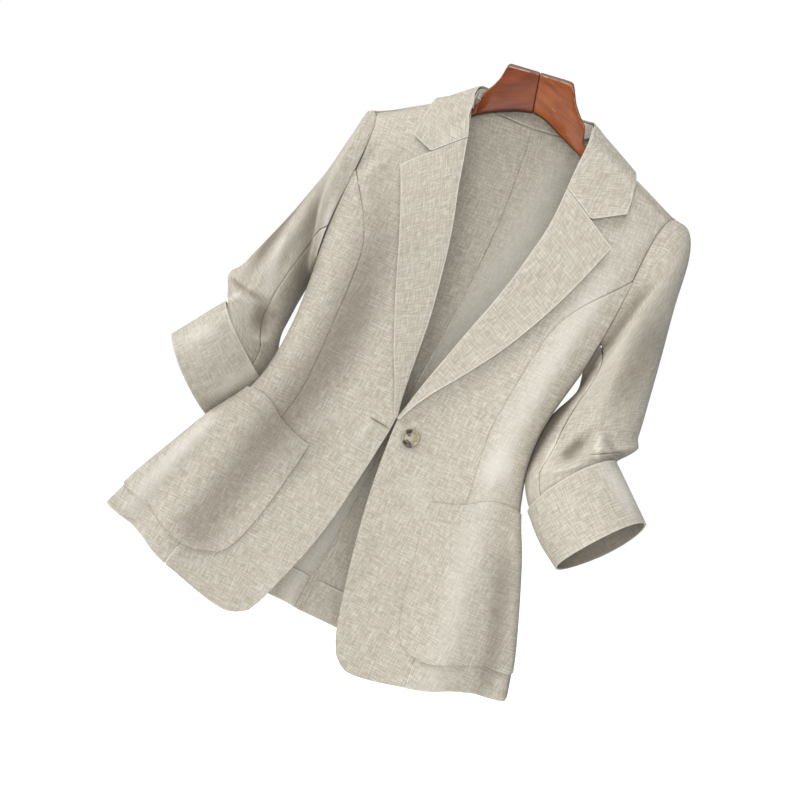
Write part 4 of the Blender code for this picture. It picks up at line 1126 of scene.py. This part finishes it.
# Where the elbow starts to bend, over how much, and the eased head, as shares of the sleeve's length.
BEND_START, BEND_LENGTH, HEAD_LENGTH = 0.62, 0.2, 0.22
FRONT_SEAM = math.radians(128)  # the seams between top sleeve and under sleeve, round from the outside
BACK_SEAM = math.radians(118)
# Place along the sleeve, round it, half length, half width, depth.
SLEEVE_FOLDS = (
    (0.43, math.radians(112), 0.28, 0.45, -0.008),
    (0.76, math.radians(40), 0.07, 0.80, -0.006),
    (0.67, math.radians(15), 0.06, 0.90, 0.005),
    (0.76, math.radians(-60), 0.07, 0.80, -0.005),
)


def swung(x, z, side_name, share):
    angle = SWING[side_name] * share
    dx, dz = x - ELBOW[0], z - ELBOW[1]
    turned_x = ELBOW[0] + dx * np.cos(angle) - dz * np.sin(angle)
    return turned_x, ELBOW[1] + dx * np.sin(angle) + dz * np.cos(angle) + DROP[side_name] * share


def ring_point(rows, along, angle, side_name, swing, grow=0.0, ahead=0.0):
    """A point of a sleeve or cuff: along it from 0 to 1, and round it from the outer line by the front."""
    side = SIDES[side_name]
    outer_x, outer_z, inner_x, inner_z, y, depth = (smooth(rows, along, column) for column in range(1, 7))
    outer_x, outer_z = swung(outer_x, outer_z, side_name, swing)
    inner_x, inner_z = swung(inner_x, inner_z, side_name, swing)
    forward = FORWARD[side_name] * swing
    y = y - np.tan(forward) * ahead
    outer, inner = np.stack((outer_x, y, outer_z), axis=-1), np.stack((inner_x, y, inner_z), axis=-1)
    middle, half = (outer + inner) / 2, (outer - inner) / 2
    half = half * (1 + np.asarray(grow) / np.linalg.norm(half, axis=-1))[..., None]
    down = np.stack((half[..., 2], np.zeros_like(y), -half[..., 0]), axis=-1)
    down = unit(down) * np.where(half[..., 2:] < 0, -1, 1)
    forward = np.broadcast_to(forward, y.shape)[..., None]
    tipped = np.array((0, -1, 0)) * np.cos(forward) - down * np.sin(forward)
    angle = angle[..., None]
    points = middle + half * np.cos(angle) + tipped * ((depth + grow)[..., None] * np.sin(angle))
    inner_share = np.broadcast_to(swing, y.shape)[..., None] * ((1 - np.cos(angle)) / 2) ** 2
    points = points + np.array((CLEAR[side_name], TUCK[side_name], 0)) * inner_share
    x = level(points[..., 2])[0] + side * points[..., 0]
    return np.stack((x, points[..., 1], points[..., 2]), axis=-1)


def armhole_point(angle, side_name):
    side = SIDES[side_name]
    wrapped = (angle + math.pi) % (2 * math.pi) - math.pi
    turns = [armhole(side, np.abs(wrapped), behind) for behind in (False, True)]
    turn = np.where(wrapped < 0, turns[1][0], turns[0][0])
    return body_point(turn, turns[0][1])


def sleeve_point(along, angle, side_name):
    side = SIDES[side_name]
    swing = ease((along - BEND_START) / BEND_LENGTH)
    fold = 0.0
    for at, turn, half, width, depth in SLEEVE_FOLDS:
        round_from = (angle - turn + math.pi) % (2 * math.pi) - math.pi
        fold = fold + depth * bump(along - at, half) * bump(round_from, width)
    points = ring_point(SLEEVE_ROWS, along, angle, side_name, swing, fold)
    points[..., 0] += side * smooth(SPREAD[side_name], along) * (0.5 + 0.5 * np.cos(angle))
    points[..., 0] -= side * smooth(CLOSE[side_name], along) * (0.5 - 0.5 * np.cos(angle)) ** 1.5
    near = (1 - ease(along / HEAD_LENGTH)) ** 1.5
    start = ring_point(SLEEVE_ROWS, np.zeros_like(along), angle, side_name, np.zeros_like(along))
    points += (armhole_point(angle, side_name) - start) * near[..., None]
    points[..., 0] += side * SLEEVE_GAP * near
    return points


def top_sleeve_place(side_name):
    def place(u, v):
        t = 2 * u - 1
        reach = np.where(t > 0, FRONT_SEAM, BACK_SEAM) - SLEEVE_SEAM
        return sleeve_point(1 - v, np.sign(t) * reach * np.abs(t) ** 1.6, side_name)

    return place


def under_sleeve_place(side_name):
    def place(u, v):
        angle = mix(FRONT_SEAM + SLEEVE_SEAM, 2 * math.pi - BACK_SEAM - SLEEVE_SEAM, u)
        return sleeve_point(1 - v, angle, side_name)

    return place


def cuff_place(side_name):
    def place(u, v):
        ahead, swing = CUFF_LENGTH * (1 - v), np.ones_like(v)
        return ring_point(CUFF_ROWS[side_name], 1 - v, 2 * math.pi * u, side_name, swing, ahead=ahead)

    return place


SLEEVE_CREASES = {
    "left": (
        (((217, -160), (206, -190), (200, -220), (195, -250), (188, -280)), 6, 20, -6, (0.2, 0.8)),
        (((188, -280), (183, -310), (177, -340), (171, -370), (168, -400), (169, -430)),
         5, 40, -9, (0.8, 1.0)),
        (((218, -200), (209, -230), (201, -262), (195, -290), (189, -320), (183, -350)),
         16, 4, 2.2, (0, 0.2)),
        (((236, -180), (230, -260), (223, -335)), 36, 30, -4.5, (0.1, 0.2)),
        (((213, -352), (206, -370), (198, -388)), 11, 12, -8, (0.5, 0.3)),
        (((225, -347), (231, -366)), 7, 6, 4.5, (0.7, 0.7)),
        (((228, -343), (242, -353), (258, -360)), 10, 4, -3.6, (0.2, 1.0)),
        (((186, -360), (182, -385), (185, -405)), 6, 6, 3, (0.3, 0.4)),
        (((190, -404), (206, -392), (224, -377)), 3, 4, 2.6, (0.2, 0.2)),
    ),
    "right": (
        (((-170, -190), (-166, -220), (-162, -250), (-158, -280), (-156, -320), (-154, -365)),
         4, 22, -6.5, (0.3, 0.5)),
        (((-152, -195), (-148, -250), (-144, -310), (-143, -345)), 6, 8, 4.2, (0.1, 0.3)),
        (((-184, -270), (-183.5, -300), (-182, -330), (-180.5, -352)), 10, 9, 3.5, (0, 0.6)),
        (((-190, -200), (-198.5, -250), (-206, -300), (-208, -345)), 20, 20, -8.5, (0.1, 0.4)),
        (((-223, -352), (-196, -357), (-164, -357)), 3, 12, -4.2, (1.0, 0.1)),
        (((-215, -372), (-199, -362)), 9, 7, 4, (0.8, 0.2)),
        (((-177, -372), (-175.5, -388)), 17, 16, -8, (0.9, 0.7)),
        (((-160, -385), (-168, -402), (-185, -404)), 5, 6, 2.8, (0.2, 0.2)),
        (((-144, -255), (-138.5, -280)), 5, 5, -2.8, (0, 0.4)),
    ),
}
SLEEVE_BACK_CREASES = {
    "left": (
        (((245, -352), (222, -346), (190, -356)), 6, 12, -5, (0.7, 0.1)),
        (((240, -376), (215, -372), (188, -384)), 9, 7, -4, (0.4, 0.1)),
        (((205, -170), (208, -240), (200, -310)), 18, 14, -3, (0, 0.2)),
    ),
    "right": (
        (((-220, -350), (-195, -344), (-165, -352)), 12, 5, -4.8, (0.8, 0)),
        (((-215, -374), (-192, -368), (-170, -378)), 7, 10, -4.2, (0.3, 0.2)),
        (((-172, -160), (-180, -230), (-176, -300)), 14, 20, -3.2, (0, 0.1)),
    ),
}
CUFF_CREASES = {
    "left": (
        (((205, -405), (238, -436)), 12, 16, 1, (0.3, 0.3)),
        (((242, -372), (266, -384), (290, -404)), 18, 18, 3.6, (0.6, 0.6)),
    ),
    "right": (
        (((-185, -449), (-214, -479)), 2, 6, -1.2, (0.2, 0.9)),
        (((-178.5, -456), (-206, -485)), 2, 5, -0.9, (0.1, 0.9)),
        (((-192, -440), (-218, -468)), 6, 2, -0.6, (0, 0.7)),
        (((-205, -405), (-233, -433)), 14, 12, 1.6, (0.2, 0.4)),
        (((-150, -415), (-170, -450), (-190, -482)), 14, 18, 3.4, (0.6, 0.6)),
        (((-242, -395), (-225, -430), (-208, -465)), 40, 40, 1.6, (0.8, 0.8)),
    ),
}
for side_name, side in SIDES.items():
    sewn_on = {"sewn": "lrh", "rests_on": [f"front_{side_name}_cloth"]}
    folds = {"front": SLEEVE_CREASES[side_name], "rear": SLEEVE_BACK_CREASES[side_name]}
    top_sleeve, under_sleeve = top_sleeve_place(side_name), under_sleeve_place(side_name)
    lay_cloth(f"top_sleeve_{side_name}", top_sleeve, (0.24, 0.34), -side, **sewn_on, **folds)
    lay_cloth(f"under_sleeve_{side_name}", under_sleeve, (0.11, 0.30), -side, **sewn_on, **folds)
    lay_cloth(
        f"cuff_{side_name}", cuff_place(side_name), (0.30, CUFF_LENGTH), -side, "folded",
        [f"top_sleeve_{side_name}_cloth"], wall=CUFF_WALL, closed=True, front=CUFF_CREASES[side_name],
        wrong_side=shaded_linen,
    )

# ---- the wooden hanger
# Two arms of varnished beech, each one rounded bar with its grain along it, meet in a joint at the
# middle. The varnish is worn along the top corners and a little scratched. Painted shade darkens the top
# and underside of each bar, and the whole of the wearer's right arm.
# half width, top, bottom, half thickness
HANGER_ROWS = {
    "left": evenly(
        (
            (0.2, 1.3, -44.5, 6), (15, 1.3, -47.5, 6), (30, 1.3, -53, 6), (38, 0.4, -56.5, 6),
            (41.5, -4, -58.3, 6), (45, -11, -60.2, 6), (49.5, -20.1, -62.5, 6), (54.5, -27, -65, 5.8),
            (60, -33.8, -68, 5.5), (65, -39.3, -70.5, 5), (68.5, -44, -72.2, 4.7), (70.5, -53, -73.2, 4.4),
            (72.5, -60.5, -74.2, 4.4), (85, -67.5, -82.5, 5), (115, -80, -98, 5.2), (140, -91, -110.5, 5),
            (155, -98.5, -116.5, 4.7), (160, -102, -115, 4),
        ),
    ),
    "right": evenly(
        (
            (0.2, 1.3, -44.5, 6), (15, 1.3, -47.5, 6), (30, 1.3, -53.5, 6), (36.5, 0.6, -56.8, 6),
            (38.8, -5, -58, 6), (39.8, -11, -58.5, 6), (41.5, -18, -59.3, 6), (44.5, -25, -60.7, 6),
            (48, -30.8, -62.4, 5.6), (51.5, -35.4, -64.3, 4.8), (53.5, -40.5, -65.5, 4),
            (54.8, -51.5, -66.4, 3.8), (65, -59, -74, 4.6), (85, -66.5, -82.5, 5.2), (115, -80, -98, 5.2),
            (140, -91, -110.5, 5), (155, -98.5, -116.5, 4.7), (160, -102, -115, 4),
        ),
    ),
}
JOINT_LEAN = 0.16  # how far the joint leans off square, per metre of height
JOINT_REACH = 0.045  # how far along each arm that is made up
HANGER_LEAN = math.radians(4)
HANGER_CURVE = 0.001  # how far the arms' tips come forward
SEAT_RADIUS = 0.0022


def varnish_wood(name, dark, light):
    """Streaks along the grain, painted shade on the top and underside, a pale worn corner and a few
    scratches.
    """
    made, shader, uv, _ = new_material(name, 0.45, 0.3, Coat_Weight=0.25, Coat_Roughness=0.14)
    streaks = uv.stretched((22, 900, 1)).noise(4.0, 0.6, 0.4)
    clouds = uv.stretched((30, 90, 1), (3, 0, 0)).noise(2.0, 0.5)
    grain = (streaks * 0.5 + clouds * 0.5).rises(0.33, 0.67).tint(dark, light)
    crown = uv.mark("crown")
    broken = uv.stretched((150, 150, 1), (0, 7, 0)).noise(3.0, 0.6)
    # painted shade along the top of the bar
    top_shaded = (crown.rises(0.83, 0.88) * 0.75).tint(grain, WOOD_TOP_SHADE)
    corner = crown.rises(0.79, 0.825) - crown.rises(0.835, 0.87)
    wear_and_edge_highlight = (corner * broken.rises(0.35, 0.55) * 0.85).tint(top_shaded, WOOD_WORN)
    # painted shade along the underside of the bar
    under = (1 - crown.rises(-0.995, -0.95)).tint(wear_and_edge_highlight, WOOD_DARK)
    joint = uv.mark("joint")
    joined = (joint * 0.85).tint(under, WOOD_DARK)
    scratch = uv.stretched((70, 620, 1), (0, 2, 5), 1.1).noise(1.0, 0.3).rises(0.735, 0.775)
    feed(shader, "Base Color", (scratch * 0.4).tint(joined, WOOD_WORN))
    bump_up(shader, streaks, 0.0002, 0.4)
    return made


# the dark joint, which is also painted shade under each bar; painted shade on the top; the worn corners and
# scratches
WOOD_DARK, WOOD_TOP_SHADE, WOOD_WORN = (0.030, 0.012, 0.006), (0.150, 0.085, 0.062), (0.62, 0.36, 0.22)
# each arm's grain colours; the wearer's right arm is darker with painted shade
WOOD = {
    "left": ((0.190, 0.037, 0.003), (0.340, 0.082, 0.007)),
    "right": ((0.125, 0.022, 0.003), (0.245, 0.050, 0.006)),
}
BAR_ROUND = 0.5  # exponent of the bar's section: less is squarer
GRAIN_TILT = math.radians(24)
# How far the joint's corners are eased and over what length, and the nick round the hook's seat.
JOINT_CORNER, JOINT_EASE, NICK_MARGIN, NICK_DEPTH = 0.0005, 0.0007, 0.0012, 0.0012
AROUND, ALONG = 64, 96
for side_name, side in SIDES.items():
    rows = HANGER_ROWS[side_name]
    mesh, column, row = grid_mesh(AROUND + 1, ALONG + 1)
    share, angle = (row / ALONG) ** 1.5, column / AROUND * 2 * math.pi
    half, top, bottom, thick = (smooth(rows, share, column) for column in range(1, 5))
    deep = np.copysign(np.abs(np.cos(angle)) ** BAR_ROUND, np.cos(angle))
    crown = np.copysign(np.abs(np.sin(angle)) ** BAR_ROUND, np.sin(angle))
    eased = JOINT_CORNER * (1 - ease((half - rows[0][1]) / JOINT_EASE))
    y = (thick - eased) * deep - HANGER_CURVE * (half / rows[-1][1]) ** 2
    z = (top + bottom) / 2 + ((top - bottom) / 2 - eased) * crown
    in_nick = np.hypot(half, y) < SEAT_RADIUS + NICK_MARGIN
    z = np.where(in_nick & (crown > 0), np.minimum(z, -NICK_DEPTH), z)
    lean = np.array(Matrix.Rotation(-HANGER_LEAN, 3, "Y"))
    shift = -JOINT_LEAN * z * (1 - ease(half / JOINT_REACH))
    move(mesh, np.stack((side * half + shift, y, z), axis=-1) @ lean.T)
    lengthwise = half * math.cos(GRAIN_TILT) - z * math.sin(GRAIN_TILT)
    crosswise = half * math.sin(GRAIN_TILT) + z * math.cos(GRAIN_TILT) + y * 0.7
    lay_grain(mesh, np.stack((lengthwise + side, crosswise), axis=-1))
    mark(mesh, crown=crown, joint=np.exp(-((half / JOINT_EASE) ** 2)))
    bmesh.ops.remove_doubles(mesh, verts=mesh.verts, dist=0.00002)
    bmesh.ops.holes_fill(mesh, edges=mesh.edges)
    bmesh.ops.recalc_face_normals(mesh, faces=mesh.faces)
    varnished = varnish_wood(f"varnished beech, {side_name}", *WOOD[side_name])
    put(f"hanger_{side_name}_wood", mesh, [varnished], f"hanger_{side_name}")

# ---- the hook's seat
# A bright steel stud with a turned edge, pressed into the joint. The hook itself is screwed out of it
# and isn't shown.


def turned(profile, steps):
    """A profile of (radius, height) spun all the way round."""
    mesh = bmesh.new()
    points = [mesh.verts.new((radius, 0, height)) for radius, height in profile]
    edges = [mesh.edges.new(pair) for pair in zip(points, points[1:])]
    spun = {"cent": (0, 0, 0), "axis": (0, 0, 1), "angle": 2 * math.pi, "steps": steps, "use_merge": True}
    bmesh.ops.spin(mesh, geom=points + edges, **spun)
    bmesh.ops.remove_doubles(mesh, verts=mesh.verts, dist=0.00001)
    bmesh.ops.recalc_face_normals(mesh, faces=mesh.faces)
    return mesh


steel = new_material("bright steel", 0.25, Metallic=1.0, Base_Color=(0.72, 0.71, 0.69, 1))[0]
seat = in_metres(
    ((0, 0), (0.7, 0), (1.0, -0.3), (1.7, -0.3), (2.0, -0.1), (2.2, -0.4), (2.2, -2.2), (0, -2.2)),
)
put("hook_seat_steel", turned(seat, 48), [steel], "hook_seat")

# ---- the button and its thread
# A turned horn button with a raised rim and four holes, dark brown swirled through olive, sewn on with
# glossy thread a little off the cloth. It stays as it is; its motion, through the buttonhole, is not one
# of rigid pieces.
BUTTON_PLACE = (0.0245, -0.4330)  # from the centre front line, height
BUTTON_RADIUS = 0.0107
BUTTON_THICK = 0.0036


def stain_horn():
    made, shader, _, place = new_material("swirled horn", 0.22, 0.5, Coat_Weight=0.5, Coat_Roughness=0.08)
    cloud = place.stretched((230, 230, 230)).noise(3.0, 0.55, 0.8)
    swirl, rim = place.mark("swirl"), place.mark("rim")
    pale = cloud.rises(0.35, 0.7).tint(HORN_OLIVE, HORN_PALE)
    dark = (swirl + (cloud - 0.5) * 0.3).rises(0.22, 0.62).tint(pale, HORN_DARK)
    feed(shader, "Base Color", (rim * 0.5).tint(dark, HORN_OLIVE))
    return made


HORN_PALE, HORN_OLIVE, HORN_DARK = (0.42, 0.36, 0.25), (0.30, 0.27, 0.15), (0.030, 0.014, 0.004)
button_x = front_x(np.array(BUTTON_PLACE[1])) + BUTTON_PLACE[0]
button_turn = turn_at(button_x, np.array(BUTTON_PLACE[1]))
button_centre = Vector(hang(body_point(button_turn, np.array(BUTTON_PLACE[1]), 0.0012)))
button_axis = Vector(outward(button_turn, np.array(BUTTON_PLACE[1])))
button_way = Matrix.Translation(button_centre) @ button_axis.to_track_quat("Z", "Y").to_matrix().to_4x4()
rim, dish, thick = BUTTON_RADIUS, BUTTON_RADIUS * 0.72, BUTTON_THICK
# The button's section: half width as a share of the dish's or of the rim's, height as a share of its own.
face = (
    (0.0, 0.62), (0.3, 0.615), (0.6, 0.62), (0.8, 0.64), (0.93, 0.70), (1.0, 0.80), (1.07, 0.93),
    (1.13, 0.99),
)
profile = [(dish * across, thick * height) for across, height in face]
edge_and_back = (
    (0.86, 1.0), (0.92, 0.98), (0.965, 0.88), (0.99, 0.74), (1.0, 0.58), (0.985, 0.38), (0.94, 0.2),
    (0.86, 0.08), (0.7, 0.0), (0.35, 0.0), (0.0, 0.0),
)
profile += [(rim * across, thick * height) for across, height in edge_and_back]
mesh = turned(profile, 96)
x, y = np.array([vert.co.xy for vert in mesh.verts]).T
angle, radius = np.degrees(np.arctan2(y, x)) % 360, np.hypot(x, y) / rim
upper = np.exp(-(((angle - 118 - 30 * (1 - radius)) / 27) ** 2)) * ease(radius / 0.20)
lower = np.exp(-(((angle - 268 + 26 * (1 - radius)) / 44) ** 2)) * ease((radius - 0.2) / 0.25)
mark(mesh, swirl=np.maximum(upper, lower), rim=np.exp(-(((radius - 0.95) / 0.06) ** 2)))
mesh.transform(button_way)
put("button_horn", mesh, [stain_horn()], "button")

thread = new_material("glossy ivory thread", 0.35, 0.5, Base_Color=(0.66, 0.62, 0.52, 1))[0]
for bar_side in (-1, 1):  # each bar of thread runs through two holes
    mesh = bmesh.new()
    bmesh.ops.create_uvsphere(mesh, u_segments=16, v_segments=12, radius=1.0)
    mesh.transform(
        button_way
        @ Matrix.Translation((bar_side * 0.0015, 0, thick * 0.62))
        @ Matrix.Diagonal((0.00055, 0.0019, 0.00065, 1))
    )
    put(f"button_thread_{'right' if bar_side < 0 else 'left'}", mesh, [thread])

# ---- the buttonhole
# A slit in the right front, worked all round with close stitches over a gimp. The stitches are a low
# ribbed ring, and the slit in them a dark sliver.
HOLE_START, HOLE_END = (-0.0140, -0.4305), (0.0078, -0.4330)
STITCHES, RIB_DEPTH = 44, 0.16
RING_WIDE, RING_HIGH, SLIT_WIDE = 0.00075, 0.00055, 0.0008  # half of each


def on_front(x, height, lift):
    """A point above the right front, with its creases."""
    turn = turn_at(x, height)
    surface = hang(body_point(turn, height))
    ahead = pressed(surface, FRONT_CREASES["right"])[..., None]
    return surface + outward(turn, height) * lift[..., None] - np.array((0, 1, 0)) * ahead


def work_buttonhole():
    """A ring round the slit; its tube is ribbed by the stitches."""
    middle, reach = np.add(HOLE_START, HOLE_END) / 2, np.subtract(HOLE_END, HOLE_START) / 2
    length = np.hypot(*reach)
    sideways = np.array((-reach[1], reach[0])) / length
    rounds, tube = 220, 10
    mesh, column, row = grid_mesh(rounds + 1, tube + 1)
    on_ring, on_tube = column / rounds * 2 * math.pi, row / tube * 2 * math.pi
    ribbed = 1 + RIB_DEPTH * np.cos(on_ring * STITCHES)
    off = RING_WIDE * np.cos(on_tube) * ribbed
    ends = np.copysign(np.abs(np.cos(on_ring)) ** 0.75, np.cos(on_ring))
    along_slit, across_slit = ends * (length + off), np.sin(on_ring) * (0.0009 + off)
    x, height = (middle[k] + reach[k] / length * along_slit + sideways[k] * across_slit for k in (0, 1))
    move(mesh, on_front(x, height, 0.0005 + RING_HIGH * np.sin(on_tube) * ribbed))
    bmesh.ops.remove_doubles(mesh, verts=mesh.verts, dist=0.00002)
    bmesh.ops.recalc_face_normals(mesh, faces=mesh.faces)
    gimp = new_material("greige buttonhole thread", 0.6, 0.3, Base_Color=(0.42, 0.38, 0.30, 1))[0]
    put("buttonhole_stitches", mesh, [gimp])
    slit, column, row = grid_mesh(41, 5)
    to_end, to_side = column / 20 - 1, row / 2 - 1
    across_slit = to_side * SLIT_WIDE * np.sqrt(np.maximum(1 - to_end**2, 0.02))
    x, height = (middle[k] + reach[k] * to_end + sideways[k] * across_slit for k in (0, 1))
    move(slit, on_front(x, height, np.full_like(x, 0.0006)))
    bmesh.ops.recalc_face_normals(slit, faces=slit.faces)
    shade = new_material("slit in shadow", 0.9, 0.1, Base_Color=(0.030, 0.024, 0.016, 1))[0]
    dark = put("buttonhole_slit", slit, [shade])
    dark.modifiers.new("wall", "SOLIDIFY").thickness = 0.0002


work_buttonhole()
